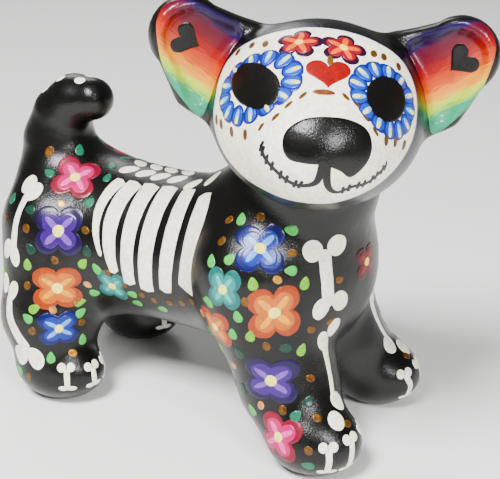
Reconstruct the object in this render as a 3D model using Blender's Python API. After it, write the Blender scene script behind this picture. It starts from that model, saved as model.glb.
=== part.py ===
"""Papier-mache dog, painted as a Day of the Dead skeleton, about 15 cm tall.

The dog stands on its four paws, +Z up, chest towards -Y, its own right side towards -X, and it
turns its head to its right. It is built as the maker builds it: thin moulded paper shells for
the face, the back of the head, the two halves of the body and the four legs, solid paper ears
and tail, rolled newspaper in the legs, a rolled card tube in the neck, three steel wires that
hold everything in line, and two paper strips that join the body halves from inside.

The outside is one smooth rule: rounded solids melted into each other. It is worked out once as
a closed surface, hollowed by a smaller copy, and cut along the maker's joints.
"""
import math

import bpy
import numpy as np

MM = 0.001

# Driving dimensions, in millimetres.
WALL = 2.5             # paper and gesso, about eight layers
JOINT = 0.3            # glue line between neighbours
FORM_CELL = 2.6        # spacing of the outside's first facets
HOLLOW_CELL = 4.0      # spacing of the inside's first facets
KEEP = 0.20            # share of the facets that is kept where the form is flat enough
SHIFT = (9.8, 16.0, 0.0)  # puts the origin under the middle of the whole figure
SPACE = ((-65.2, -100.5, -9.3), (46.0, 78.0, 152.0))  # the corners of the space it fills

# Trunk: centre and half sizes of its three rounded masses.
BARREL = ((0.0, 2.0, 50.8), (24.3, 50.0, 24.3))
CHEST = ((0.0, -33.6, 54.6), (28.0, 28.0, 28.0))
RUMP = ((0.0, 34.0, 49.0), (23.7, 28.0, 25.7))
CHEST_BLEND = 22.0
RUMP_BLEND = 16.0

# Neck: a tapered rod from the shoulders up into the head.
NECK_LOW = ((-0.5, -32.0, 68.0), 19.2)
NECK_HIGH = ((-2.5, -43.8, 85.8), 19.8)
NECK_BLEND = 20.0

# Legs, given for the left side: shoulder or hip, knee, ankle, and the paw's centre and half sizes.
FRONT_LEG = (((19.3, -31.7, 58.0), 16.8), ((17.0, -44.0, 22.3), 14.4), ((23.2, -52.9, 12.0), 11.3))
FRONT_PAW = ((23.2, -55.9, 10.3), (11.8, 14.4, 10.3))
HIND_LEG = (((13.1, 45.6, 55.0), 15.9), ((19.7, 42.9, 26.0), 15.3), ((23.6, 39.5, 12.0), 10.9))
HIND_PAW = ((23.6, 37.5, 10.0), (11.4, 15.7, 10.0))
LEG_BLEND = 8.0
FRONT_JOIN = 11.0
HIND_JOIN = 12.0

# Tail: a curve through the rump with its thickness at the root, the middle and the tip.
TAIL_CURVE = ((0.0, 44.0, 58.0), (0.0, 56.8, 76.6), (-0.6, 48.7, 98.2), (-0.6, 35.7, 95.6))
TAIL_RADII = (16.3, 9.9, 6.8)
TAIL_STEPS = 5
TAIL_BLEND = 4.0
TAIL_JOIN = 16.0

# Head: where it sits, how it is turned (degrees), the skull and the muzzle.
HEAD_CENTRE = (-22.4, -53.8, 108.1)
HEAD_TURN = (-61.8, -15.8, 4.2)
SKULL = ((0.0, 0.0, 2.0), (28.7, 26.8, 25.4))
MUZZLE = ((0.0, -18.8, -5.4), (16.8, 15.8, 13.8))
MUZZLE_BLEND = 14.0
HEAD_JOIN = 8.0

# Ears, for the left side of the head: a flat rounded leaf with a dished front.
EAR_ROOT = ((28.4, 3.0, 13.8), 14.9)
EAR_TIP = ((36.2, -2.3, 20.6), 10.4)
EAR_HALF = 3.6
EAR_EDGE = 4.0
EAR_JOIN = 10.0
DISH_RIM = 3.2
DISH_DEPTH = 2.2
DISH_EDGE = 2.0

# The maker's joints.
NECK_SEAM = 19.0           # below the head's centre, square to the neck
FACE_SEAM = 2.0            # behind the head's centre
EAR_SEAM = 28.0            # from the head's centre, square to the ear's root
EAR_SEAM_SLOPE = math.radians(33.0)
LEG_SEAM = 21.0            # above the ground, under the belly
TAIL_SEAM = 77.0           # above the ground
TAIL_SEAM_FRONT = 15.0     # the tail's cut stays behind this

# What is inside.
WIRE = 0.8
WIRE_FIT = 0.4
WIRE_STEP = 5.0            # between the points along a wire
CORE = 4.5
CORE_SIDES = 10
CORE_FOOT = 9.0            # above the ground
CORE_REACH = 0.6           # how far up from the knee to the shoulder or hip
FRONT_CREST = (0.0, -32.0, 60.0)
HIND_CREST = (0.0, 42.0, 52.0)
SPINE = ((-14.0, -50.7, 107.7), (-6.0, -40.0, 85.0), (0.0, -32.0, 68.0), (0.0, -16.0, 64.0), (0.0, 10.0, 63.0),
         (0.0, 34.0, 65.0), (0.0, 50.0, 76.0), (0.0, 48.5, 88.0))
WIRE_SIDES = 6
NECK_TUBE = (9.0, 7.8)     # outer and inner radius
NECK_TUBE_ENDS = ((0.0, -32.0, 68.0), (-12.0, -48.0, 102.0))
STRIP_HALF_WIDTH = 6.0
STRIP_GAP = 0.5
STRIP_THICK = 0.8
STRIP_ENDS = (-16.0, 28.0)
STRIP_LEVEL = 50.0

PAPER = (0.62, 0.57, 0.47, 1.0)
BLACK_PAINT = (0.006, 0.006, 0.005, 1.0)
CREAM_PAINT = (0.93, 0.90, 0.78, 1.0)
NEWSPRINT = (0.45, 0.43, 0.40, 1.0)
CARD = (0.40, 0.27, 0.15, 1.0)
STEEL = (0.56, 0.55, 0.53, 1.0)


# Smooth fields: negative inside, in millimetres.

def melt(a, b, reach):
    """Union of two fields with a fillet where they meet."""
    near = np.maximum(reach - np.abs(a - b), 0.0) / reach
    return np.minimum(a, b) - near ** 3 * reach / 6.0


def trim(a, b, reach):
    """Overlap of two fields with a rounded edge."""
    return -melt(-a, -b, reach)


def rod(p, start, end):
    """Rod between two balls, each given as its centre and radius."""
    a, b = np.array(start[0]), np.array(end[0])
    along = b - a
    t = np.clip(((p - a) @ along) / (along @ along), 0.0, 1.0)
    radius = start[1] + (end[1] - start[1]) * t
    return np.linalg.norm(p - a - t[..., None] * along, axis=-1) - radius


def egg(p, centre, half):
    """Ellipsoid, as a distance that is true at its surface."""
    q = p - np.array(centre)
    r = np.array(half)
    near = np.linalg.norm(q / r, axis=-1)
    slope = np.linalg.norm(q / (r * r), axis=-1)
    return near * (near - 1.0) / np.maximum(slope, 1e-9)


def head_axes():
    """Matrix whose columns are the head's left, back and up."""
    yaw, pitch, roll = (math.radians(a) for a in HEAD_TURN)
    cy, sy, cp, sp, cr, sr = (f(a) for a in (yaw, pitch, roll) for f in (math.cos, math.sin))
    turn = np.array(((cy, -sy, 0), (sy, cy, 0), (0, 0, 1)))
    nod = np.array(((1, 0, 0), (0, cp, -sp), (0, sp, cp)))
    tilt = np.array(((cr, 0, sr), (0, 1, 0), (-sr, 0, cr)))
    return turn @ nod @ tilt


HEAD_AXES = head_axes()
HEAD = np.array(HEAD_CENTRE)
NECK_UP = (HEAD - np.array(NECK_LOW[0])) / np.linalg.norm(HEAD - np.array(NECK_LOW[0]))


def mirrored(point, side):
    """A point given for the left side, on either side: 1 left, -1 right."""
    return (side * point[0], point[1], point[2])


def trunk(p):
    """Barrel, chest, rump and neck."""
    body = egg(p, *BARREL)
    body = melt(body, egg(p, *CHEST), CHEST_BLEND)
    body = melt(body, egg(p, *RUMP), RUMP_BLEND)
    return melt(body, rod(p, NECK_LOW, NECK_HIGH), NECK_BLEND)


def leg(p, joints, paw, side):
    """Two tapered rods and a rounded paw."""
    top, knee, ankle = ((mirrored(c, side), r) for c, r in joints)
    limb = melt(rod(p, top, knee), rod(p, knee, ankle), LEG_BLEND)
    return melt(limb, egg(p, mirrored(paw[0], side), paw[1]), LEG_BLEND)


def tail_ball(t):
    """Centre and radius of the tail at t, from 0 at its root to 1 at its tip."""
    weights = ((1 - t) ** 3, 3 * t * (1 - t) ** 2, 3 * t * t * (1 - t), t ** 3)
    centre = sum(w * np.array(c) for w, c in zip(weights, TAIL_CURVE))
    root, middle, tip = TAIL_RADII
    radius = root * (1 - t) * (1 - 2 * t) + middle * 4 * t * (1 - t) + tip * t * (2 * t - 1)
    return centre, radius


def tail(p):
    """A chain of short rods along the tail's curve."""
    balls = [tail_ball(i / TAIL_STEPS) for i in range(TAIL_STEPS + 1)]
    links = [rod(p, a, b) for a, b in zip(balls[:-1], balls[1:])]
    form = links[0]
    for link in links[1:]:
        form = melt(form, link, TAIL_BLEND)
    return form


def skull(q):
    """Skull and muzzle, in the head's own axes."""
    return melt(egg(q, *SKULL), egg(q, *MUZZLE), MUZZLE_BLEND)


def ear(q, side):
    """Flat leaf between two circles, rounded at its edge and dished in front."""
    root, tip = np.array(mirrored(EAR_ROOT[0], side)), np.array(mirrored(EAR_TIP[0], side))
    length = np.linalg.norm(tip - root)
    along = (tip - root) / length
    across = np.cross((0.0, -1.0, 0.0), along)
    across /= np.linalg.norm(across)
    front = np.cross(along, across)
    front *= -np.sign(front[1])
    run, width, depth = ((q - root) @ v for v in (along, across, front))
    t = np.clip(run / length, 0.0, 1.0)
    outline = np.hypot(run - t * length, width) - (EAR_ROOT[1] + (EAR_TIP[1] - EAR_ROOT[1]) * t)
    leaf = trim(outline, np.abs(depth) - EAR_HALF, EAR_EDGE)
    dish = trim(outline + DISH_RIM, EAR_HALF - DISH_DEPTH - depth, DISH_EDGE)
    return trim(leaf, -dish, DISH_EDGE)


def inner_form(p):
    """Everything that is hollow: trunk, legs and head."""
    form = trunk(p)
    for side in (-1, 1):
        form = melt(form, leg(p, FRONT_LEG, FRONT_PAW, side), FRONT_JOIN)
        form = melt(form, leg(p, HIND_LEG, HIND_PAW, side), HIND_JOIN)
    return melt(form, skull((p - HEAD) @ HEAD_AXES), HEAD_JOIN)


def figure(p):
    """The whole dog, without the flat under its paws."""
    form = melt(inner_form(p), tail(p), TAIL_JOIN)
    q = (p - HEAD) @ HEAD_AXES
    for side in (-1, 1):
        form = melt(form, ear(q, side), EAR_JOIN)
    return form


def hollow(p):
    """The space inside the shells, which stays a wall's thickness above the ground."""
    return np.maximum(inner_form(p), -p[..., 2]) + WALL


# Closed surface of a field.

CORNERS = [(i, j, k) for i in (0, 1) for j in (0, 1) for k in (0, 1)]


def on_surface(field, points, level=0.0, rounds=4):
    """Move points along the field's slope until they lie on its surface."""
    step = 0.05
    for _ in range(rounds):
        value = field(points) - level
        slope = np.stack([field(points + step * e) - field(points - step * e) for e in np.eye(3)], -1)
        slope /= 2.0 * step
        points = points - slope * (value / np.maximum((slope ** 2).sum(-1), 0.1))[:, None]
    return points


def cell_corners(values, inside):
    """Cells that the surface crosses, and the mean of its crossings in each."""
    shape = [n - 1 for n in values.shape]
    total, count = np.zeros(shape + [3]), np.zeros(shape)
    window = [slice(0, n) for n in shape]
    for axis in range(3):
        for corner in (c for c in CORNERS if c[axis] == 0):
            low = tuple(slice(c + w.start, c + w.stop) for c, w in zip(corner, window))
            up = tuple(slice(s.start + (a == axis), s.stop + (a == axis)) for a, s in enumerate(low))
            cross = inside[low] != inside[up]
            gap = np.where(cross, values[low] - values[up], 1.0)
            place = np.broadcast_to(np.array(corner, float), shape + [3]).copy()
            place[..., axis] = np.where(cross, values[low] / gap, 0.0)
            total += place * cross[..., None]
            count += cross
    return total, count


def surface_net(field, low, high, cell):
    """Corners and quads of the closed surface where the field is zero."""
    axes = [np.arange(a, b + cell, cell) for a, b in zip(low, high)]
    values = field(np.stack(np.meshgrid(*axes, indexing="ij"), axis=-1))
    inside = values < 0.0
    total, count = cell_corners(values, inside)
    cells = np.argwhere(count > 0)
    index = -np.ones(count.shape, int)
    index[tuple(cells.T)] = np.arange(len(cells))
    mean = total[tuple(cells.T)] / count[tuple(cells.T)][:, None]
    points = np.array(low) + (cells + mean) * cell
    quads = []
    for axis in range(3):
        b, c = (axis + 1) % 3, (axis + 2) % 3
        for i, j, k in np.argwhere(np.diff(inside, axis=axis)):
            spot = np.array((i, j, k))
            around = [spot - m * np.eye(3, dtype=int)[b] - n * np.eye(3, dtype=int)[c]
                      for m, n in ((0, 0), (1, 0), (1, 1), (0, 1))]
            quad = [int(index[tuple(s)]) for s in around]
            quads.append(quad if inside[i, j, k] else quad[::-1])
    return on_surface(field, points), quads


# Meshes, materials and cutters.

def new_object(name, points, faces):
    """Mesh object from points in millimetres in the dog's frame."""
    mesh = bpy.data.meshes.new(name)
    placed = (np.asarray(points, float) + np.array(SHIFT)) * MM
    mesh.from_pydata([tuple(v) for v in placed], [], [tuple(f) for f in faces])
    mesh.validate()
    obj = bpy.data.objects.new(name, mesh)
    bpy.context.scene.collection.objects.link(obj)
    return obj


def paint(obj, colour, roughness, metallic=0.0):
    """Give a piece its own material."""
    material = bpy.data.materials.new(obj.name)
    material.use_nodes = True
    shader = material.node_tree.nodes["Principled BSDF"]
    shader.inputs["Base Color"].default_value = colour
    shader.inputs["Roughness"].default_value = roughness
    shader.inputs["Metallic"].default_value = metallic
    obj.data.materials.clear()
    obj.data.materials.append(material)


def as_cutter(obj):
    """Mark a solid that only shapes others."""
    obj.hide_render = True
    obj.display_type = "WIRE"
    return obj


def cut(obj, cutter, operation):
    """Boolean with a cutter."""
    change = obj.modifiers.new(operation.title() + " " + cutter.name, "BOOLEAN")
    change.object = cutter
    change.operation = operation
    change.solver = "EXACT"


BOX_QUADS = ((0, 1, 3, 2), (4, 6, 7, 5), (0, 4, 5, 1), (2, 3, 7, 6), (0, 2, 6, 4), (1, 5, 7, 3))


def block(name, low, high, axes=np.eye(3), centre=(0.0, 0.0, 0.0)):
    """Box between two corners, in axes of its own about a centre."""
    corners = [[(low, high)[pick][a] for a, pick in enumerate(corner)] for corner in CORNERS]
    points = np.array(centre) + np.array(corners) @ np.asarray(axes).T
    return as_cutter(new_object(name, points, BOX_QUADS))


def tube_mesh(path, radius, sides):
    """Points and faces of a round rod along a path, with flat ends."""
    path = np.asarray(path, float)
    ahead = np.gradient(path, axis=0)
    ahead /= np.linalg.norm(ahead, axis=1)[:, None]
    side = np.cross(ahead[0], (0.3, 0.9, 0.2))
    points, faces = [], []
    for place, forward in zip(path, ahead):
        side = side - (side @ forward) * forward
        side /= np.linalg.norm(side)
        up = np.cross(forward, side)
        angles = (2 * math.pi * n / sides for n in range(sides))
        points += [place + radius * (math.cos(a) * side + math.sin(a) * up) for a in angles]
    for ring in range(len(path) - 1):
        for n in range(sides):
            a, b = ring * sides + n, ring * sides + (n + 1) % sides
            faces.append((a, b, b + sides, a + sides))
    faces.append(tuple(range(sides))[::-1])
    faces.append(tuple(range(len(points) - sides, len(points))))
    return points, faces


def tube(name, path, radius, sides):
    """A round rod as an object."""
    return new_object(name, *tube_mesh(path, radius, sides))


def smooth_path(stops, spacing):
    """Points about every few millimetres on a smooth curve through the stops."""
    stops = [np.array(s, float) for s in stops]
    stops = [2 * stops[0] - stops[1]] + stops + [2 * stops[-1] - stops[-2]]
    path = []
    for a, b, c, d in zip(stops[:-3], stops[1:-2], stops[2:-1], stops[3:]):
        count = max(2, round(float(np.linalg.norm(c - b)) / spacing))
        for t in (n / count for n in range(count)):
            path.append(0.5 * (2 * b + (c - a) * t + (2 * a - 5 * b + 4 * c - d) * t ** 2
                               + (3 * b - a - 3 * c + d) * t ** 3))
    path.append(stops[-2])
    return path


# The assembly.

FAR = 200.0


def neck_frame():
    """Axes whose third is the neck's direction, for cuts square to it."""
    side = np.cross(NECK_UP, (0.0, 1.0, 0.0))
    side /= np.linalg.norm(side)
    return np.stack([side, np.cross(NECK_UP, side), NECK_UP], axis=1)


def ear_frame(side):
    """Axes whose first points out of the head square to the ear's root."""
    out = np.array((side * math.cos(EAR_SEAM_SLOPE), 0.0, math.sin(EAR_SEAM_SLOPE)))
    back = np.array((0.0, 1.0, 0.0))
    return HEAD_AXES @ np.stack([out, back, np.cross(out, back)], axis=1)


def simplified(name, net):
    """A closed surface as an object, with fewer facets where it is flat enough."""
    obj = new_object(name, *net)
    fewer = obj.modifiers.new("Fewer facets", "DECIMATE")
    fewer.ratio = KEEP
    return obj


class Forms:
    """The two surfaces and the cutting blocks that the shells share."""

    def __init__(self):
        low, high = SPACE
        self.outside = surface_net(figure, low, high, FORM_CELL)
        self.inside = surface_net(hollow, low, high, HOLLOW_CELL)
        self.hollow = as_cutter(simplified("hollow_cutter", self.inside))
        gap = JOINT / 2
        neck = neck_frame()
        self.above_neck = block("above_neck", (-FAR, -FAR, -NECK_SEAM - gap), (FAR, FAR, FAR), neck, HEAD)
        self.below_neck = block("below_neck", (-FAR, -FAR, -FAR), (FAR, FAR, -NECK_SEAM + gap), neck, HEAD)
        self.front = block("before_face_seam", (-FAR, -FAR, -FAR), (FAR, FACE_SEAM + gap, FAR), HEAD_AXES, HEAD)
        self.back = block("behind_face_seam", (-FAR, FACE_SEAM - gap, -FAR), (FAR, FAR, FAR), HEAD_AXES, HEAD)
        self.outer_ear, self.inner_ear = {}, {}
        for side, word in ((-1, "right"), (1, "left")):
            axes = ear_frame(side)
            self.outer_ear[side] = block("outside_ear_seam_" + word, (EAR_SEAM - gap, -FAR, -FAR),
                                         (FAR, FAR, FAR), axes, HEAD)
            self.inner_ear[side] = block("inside_ear_seam_" + word, (-FAR, -FAR, -FAR),
                                         (EAR_SEAM + gap, FAR, FAR), axes, HEAD)
        self.tail = block("tail_block", (-FAR, TAIL_SEAM_FRONT, TAIL_SEAM - gap), (FAR, FAR, FAR))
        self.legs = block("leg_block", (-FAR, -FAR, -FAR), (FAR, FAR, LEG_SEAM + gap))


def shell(name, forms, removed, colour, is_hollow=True):
    """One piece of the figure: the outside, less the hollow and the blocks beyond its joints."""
    obj = simplified(name, forms.outside)
    for block_object in removed:
        cut(obj, block_object, "DIFFERENCE")
    if is_hollow:
        cut(obj, forms.hollow, "DIFFERENCE")
    paint(obj, colour, 0.3)
    return obj


def make_head(forms):
    ears = [forms.outer_ear[-1], forms.outer_ear[1]]
    shell("face_shell", forms, [forms.below_neck, forms.back] + ears, CREAM_PAINT)
    shell("head_back_shell", forms, [forms.below_neck, forms.front] + ears, BLACK_PAINT)
    for side, word in ((-1, "right"), (1, "left")):
        shell("ear_" + word, forms, [forms.below_neck, forms.inner_ear[side]], BLACK_PAINT, False)


def make_body(forms, spine_way):
    for side, word in ((-1, "right"), (1, "left")):
        other = block("other_side_of_" + word, (-FAR, -FAR, -FAR), (FAR, FAR, FAR),
                      centre=(-side * (FAR - JOINT / 2), 0.0, 0.0))
        piece = shell("body_" + word + "_shell", forms,
                      [other, forms.above_neck, forms.tail, forms.legs], BLACK_PAINT)
        cut(piece, spine_way, "DIFFERENCE")
    body = block("all_but_tail", (-FAR, -FAR, -FAR), (FAR, FAR, TAIL_SEAM + JOINT / 2))
    front = block("all_before_tail", (-FAR, -FAR, -FAR), (FAR, TAIL_SEAM_FRONT, FAR))
    piece = shell("tail", forms, [front, body], BLACK_PAINT, False)
    cut(piece, spine_way, "DIFFERENCE")


def make_leg_shells(forms):
    for side, word in ((-1, "right"), (1, "left")):
        for place, near, far in (("front", -FAR, 0.0), ("hind", 0.0, FAR)):
            name = place + "_leg_" + word
            inner, outer = sorted((side * JOINT / 2, side * FAR))
            keep = block(name + "_block", (inner, near, 0.0), (outer, far, LEG_SEAM - JOINT / 2))
            piece = simplified(name + "_shell", forms.outside)
            cut(piece, keep, "INTERSECT")
            cut(piece, forms.hollow, "DIFFERENCE")
            paint(piece, BLACK_PAINT, 0.3)


def lengthened(path, extra):
    """The same path with both ends moved outward."""
    first, last = path[0] - path[1], path[-1] - path[-2]
    first, last = first / np.linalg.norm(first), last / np.linalg.norm(last)
    return [path[0] + extra * first] + path[1:-1] + [path[-1] + extra * last]


def make_wire(name, path):
    """A steel wire, and the slightly wider rod that clears its way."""
    paint(tube(name, path, WIRE, WIRE_SIDES), STEEL, 0.35, 1.0)
    wide = tube(name + "_way", lengthened(path, 1.5), WIRE + WIRE_FIT, WIRE_SIDES)
    return as_cutter(wide)


def leg_route(joints, paw, side):
    """The middle of a leg, from just above the paw's sole up into the body."""
    (top, _), (knee, _), (ankle, _) = joints
    foot = (paw[0][0], (paw[0][1] + ankle[1]) / 2, CORE_FOOT)
    high = tuple(k + CORE_REACH * (t - k) for k, t in zip(knee, top))
    return [mirrored(c, side) for c in (foot, knee, high)]


def make_legs_inside(place, joints, paw, crest):
    """Rolled newspaper in both legs of a pair, on one wire bent over the crest."""
    routes = {side: leg_route(joints, paw, side) for side in (-1, 1)}
    way = make_wire(place + "_leg_wire", smooth_path(routes[-1] + [crest] + routes[1][::-1], WIRE_STEP))
    for side, word in ((-1, "right"), (1, "left")):
        route = smooth_path(routes[side] + [crest], WIRE_STEP)
        steps = sum(1 for point in route if point[2] < routes[side][-1][2])
        core = tube(place + "_leg_core_" + word, lengthened(route[:steps], -0.5), CORE, CORE_SIDES)
        cut(core, way, "DIFFERENCE")
        paint(core, NEWSPRINT, 0.9)


def make_neck_tube():
    """Rolled card that joins body and head around the spine wire."""
    low, high = (np.array(end) for end in NECK_TUBE_ENDS)
    outer, inner = NECK_TUBE
    piece = tube("neck_tube", [low, high], outer, 2 * CORE_SIDES)
    bore = as_cutter(tube("neck_tube_bore", lengthened([low, high], 3.0), inner, 2 * CORE_SIDES))
    cut(piece, bore, "DIFFERENCE")
    paint(piece, CARD, 0.8)


def make_seam_strips(forms):
    """Paper strips along the inside of the back and the belly, across the joint of the halves."""
    points, quads = forms.inside
    near, far = (on_surface(hollow, points, -depth) for depth in (STRIP_GAP, STRIP_GAP + STRIP_THICK))
    core = as_cutter(new_object("strip_inner", far, quads))
    for name, low, high in (("back_seam_strip", STRIP_LEVEL, FAR), ("belly_seam_strip", -FAR, STRIP_LEVEL)):
        piece = new_object(name, near, quads)
        keep = block(name + "_block", (-STRIP_HALF_WIDTH, STRIP_ENDS[0], low),
                     (STRIP_HALF_WIDTH, STRIP_ENDS[1], high))
        cut(piece, keep, "INTERSECT")
        cut(piece, core, "DIFFERENCE")
        paint(piece, PAPER, 0.9)


def main():
    for obj in list(bpy.data.objects):
        bpy.data.objects.remove(obj, do_unlink=True)
    forms = Forms()
    spine_way = make_wire("spine_wire", smooth_path(SPINE, WIRE_STEP))
    make_head(forms)
    make_body(forms, spine_way)
    make_leg_shells(forms)
    make_legs_inside("front", FRONT_LEG, FRONT_PAW, FRONT_CREST)
    make_legs_inside("hind", HIND_LEG, HIND_PAW, HIND_CREST)
    make_neck_tube()
    make_seam_strips(forms)


main()
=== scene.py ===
# %% [markdown]
# # A papier-mache dog, painted as a Day of the Dead skeleton
# The figure is hollow paper over wire, covered with gesso, painted black and then decorated with
# small films of acrylic paint: ribs, bones, flowers, leaves, dots and a cream sugar-skull face. A
# thick gloss varnish covers everything. The solid parts come from the fixed frame; this file makes
# the painted outside and the finish of every material. All sizes are in millimetres unless noted.

# %% Load the fixed frame
import math

import bpy
import numpy as np
from mathutils import Matrix, Vector
from mathutils.bvhtree import BVHTree


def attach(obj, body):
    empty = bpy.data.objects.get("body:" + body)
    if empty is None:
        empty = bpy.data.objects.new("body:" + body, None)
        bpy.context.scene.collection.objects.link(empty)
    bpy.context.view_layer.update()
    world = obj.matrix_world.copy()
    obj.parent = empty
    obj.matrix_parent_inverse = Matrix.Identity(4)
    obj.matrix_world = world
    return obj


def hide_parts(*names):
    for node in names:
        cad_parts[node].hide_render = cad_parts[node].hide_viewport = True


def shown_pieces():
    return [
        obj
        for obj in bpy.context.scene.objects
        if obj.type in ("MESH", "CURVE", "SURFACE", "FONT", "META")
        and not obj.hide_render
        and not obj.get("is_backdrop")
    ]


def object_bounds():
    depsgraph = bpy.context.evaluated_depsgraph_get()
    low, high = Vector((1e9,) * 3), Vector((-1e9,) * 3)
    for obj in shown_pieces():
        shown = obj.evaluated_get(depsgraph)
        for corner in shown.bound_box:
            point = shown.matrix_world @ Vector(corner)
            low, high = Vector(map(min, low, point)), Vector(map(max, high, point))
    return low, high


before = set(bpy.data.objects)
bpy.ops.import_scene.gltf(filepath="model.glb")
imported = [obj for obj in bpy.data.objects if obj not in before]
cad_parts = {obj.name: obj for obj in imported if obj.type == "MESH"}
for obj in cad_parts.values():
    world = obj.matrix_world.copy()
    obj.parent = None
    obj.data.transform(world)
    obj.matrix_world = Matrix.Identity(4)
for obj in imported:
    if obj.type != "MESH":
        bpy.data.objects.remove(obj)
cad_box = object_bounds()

MM = 0.001
RIGHT, LEFT = -1, 1
print("nodes in the frame:", len(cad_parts))

# %% [markdown]
# Every surface and every material below is a tree of nodes. One helper adds a node, sets its
# properties and fills its inputs, either with a value or with a link from another node, so that a
# tree reads like a list of steps. Colours are written as a paint chart gives them, and a second
# helper turns them into the linear light that a shader works in.

# %% One helper for nodes, one for colours
def add(tree, kind, inputs=(), **settings):
    """Add a node; each input is a value, a node (its first live output) or an output."""
    node = tree.nodes.new(kind)
    for name, value in settings.items():
        setattr(node, name, value)
    for key, value in inputs.items() if isinstance(inputs, dict) else enumerate(inputs):
        if isinstance(value, bpy.types.Node):
            value = next(s for s in value.outputs if s.enabled)
        if isinstance(value, bpy.types.NodeSocket):
            tree.links.new(value, node.inputs[key])
        else:
            node.inputs[key].default_value = value
    return node


def linear(code):
    """sRGB hex colour as the linear RGBA that a shader needs."""
    channels = [int(code[i:i + 2], 16) / 255.0 for i in (1, 3, 5)]
    lit = [c / 12.92 if c <= 0.04045 else ((c + 0.055) / 1.055) ** 2.4 for c in channels]
    return (*lit, 1.0)


print("cream in linear light:", [round(c, 3) for c in linear("#FDFCE8")])

# %% [markdown]
# ## Finishes
# The real coat is craft acrylic under several brushed layers of gloss varnish. Acrylic is a matt
# plastic film (IOR about 1.5); the varnish over it is the smooth clear layer that gives the wet
# shine, so it is drawn as the shader's coat. The gesso below it is never quite flat: its grain
# breaks the highlights into sparkles, and broad dents left by the paper layers bend them. Real
# grain is finer than half a millimetre; it is drawn just coarse enough to show.

# %% An empty finish
def new_material(name):
    """Empty material with its shader and output joined."""
    material = bpy.data.materials.new(name)
    material.use_nodes = True
    tree = material.node_tree
    tree.nodes.clear()
    shader = add(tree, "ShaderNodeBsdfPrincipled")
    add(tree, "ShaderNodeOutputMaterial", {"Surface": shader})
    return material, tree, shader


print("finishes so far:", len(bpy.data.materials))

# %% [markdown]
# Gesso and varnish lie under every colour of the dog, so they are one function that each finish
# calls. Two noises make them: a fine one for the grain, which fades in and out as sanding leaves
# it, and a broad one for the dents. Both go into one bump, and the fine one also varies the gloss.

# %% Varnished gesso: grain and dents as one bump
GRAIN = 0.45                  # across one grain of gesso
DENT = 7.0                    # across one hollow between paper layers
GRAIN_HEIGHT = 0.09
DENT_HEIGHT = 0.16
VARNISH_IOR = 1.5
VARNISH_ROUGHNESS = 0.12
UNDER_VARNISH = 0.15          # paint and varnish bend light alike, so little shines between them
NOISE_LOW, NOISE_HIGH = 0.3, 0.7     # noise hardly ever leaves this range


def varnished(tree, shader, roughness, coat, grain=1.0):
    """Grainy, dented gesso under a gloss varnish."""
    place = add(tree, "ShaderNodeTexCoord").outputs["Object"]
    fine = add(tree, "ShaderNodeTexNoise",
               {"Vector": place, "Scale": 1.0 / (GRAIN * MM), "Detail": 2.0})
    broad = add(tree, "ShaderNodeTexNoise",
                {"Vector": place, "Scale": 1.0 / (DENT * MM), "Detail": 1.0})
    patch = add(tree, "ShaderNodeMapRange",
                {"Value": broad, "From Min": 0.35, "From Max": 0.7, "To Min": 0.35, "To Max": 1.0})
    grains = add(tree, "ShaderNodeMath", [fine, patch], operation="MULTIPLY")
    dents = add(tree, "ShaderNodeBump",
                {"Height": broad, "Distance": DENT_HEIGHT * MM, "Strength": 1.0})
    bump = add(tree, "ShaderNodeBump",
               {"Height": grains, "Distance": GRAIN_HEIGHT * grain * MM, "Strength": 1.0,
                "Normal": dents})
    tree.links.new(bump.outputs[0], shader.inputs["Normal"])
    tree.links.new(bump.outputs[0], shader.inputs["Coat Normal"])
    rough = add(tree, "ShaderNodeMapRange",
                {"Value": fine, "From Min": NOISE_LOW, "From Max": NOISE_HIGH,
                 "To Min": roughness * 0.85, "To Max": roughness * 1.2})
    tree.links.new(rough.outputs[0], shader.inputs["Roughness"])
    for socket, value in (("IOR", VARNISH_IOR), ("Coat IOR", VARNISH_IOR), ("Coat Weight", coat),
                          ("Coat Roughness", VARNISH_ROUGHNESS),
                          ("Specular IOR Level", UNDER_VARNISH)):
        shader.inputs[socket].default_value = value
    return place


print("gesso grain", GRAIN, "mm across, dents", DENT, "mm")

# %% [markdown]
# The black is carbon black acrylic, brushed on in two coats. Where a stroke is thin, a trace of
# brown shows. It could be one flat colour, but the eye would then take it for plastic, so two near
# blacks are mixed by a noise as wide as a brush stroke. It gives deep black with sharp highlights.

# %% Black acrylic
BLACK_STREAK = 5.0            # width of a stroke of black


def black_acrylic():
    """Carbon black, brushed on: a trace of brown where it is thin."""
    material, tree, shader = new_material("black_acrylic_under_gloss_varnish")
    place = varnished(tree, shader, 0.36, 0.36, grain=1.6)
    streak = add(tree, "ShaderNodeTexNoise",
                 {"Vector": place, "Scale": 1.0 / (BLACK_STREAK * MM), "Detail": 4.0})
    tone = add(tree, "ShaderNodeMix",
               {"Factor": streak, 6: linear("#020202"), 7: linear("#0b0a08")}, data_type="RGBA")
    tree.links.new(tone.outputs[2], shader.inputs["Base Color"])
    return material


BLACK = black_acrylic()
print("finish:", BLACK.name)

# %% [markdown]
# The coloured marks share one craft acrylic. Each mark carries its own colour on its points, so
# that one material serves a hundred flowers and dots. The hairs of the round brush leave streaks
# along the colour, and a second coat deepens it. The bronze dots are the same paint with mica in
# it: more streaks and a metal sheen.

# %% Craft acrylic and bronze
COATS = 1.5                   # a second coat deepens a colour; this is how strongly
HAIRS = 1.6                   # width of a streak left by the brush hairs


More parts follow.
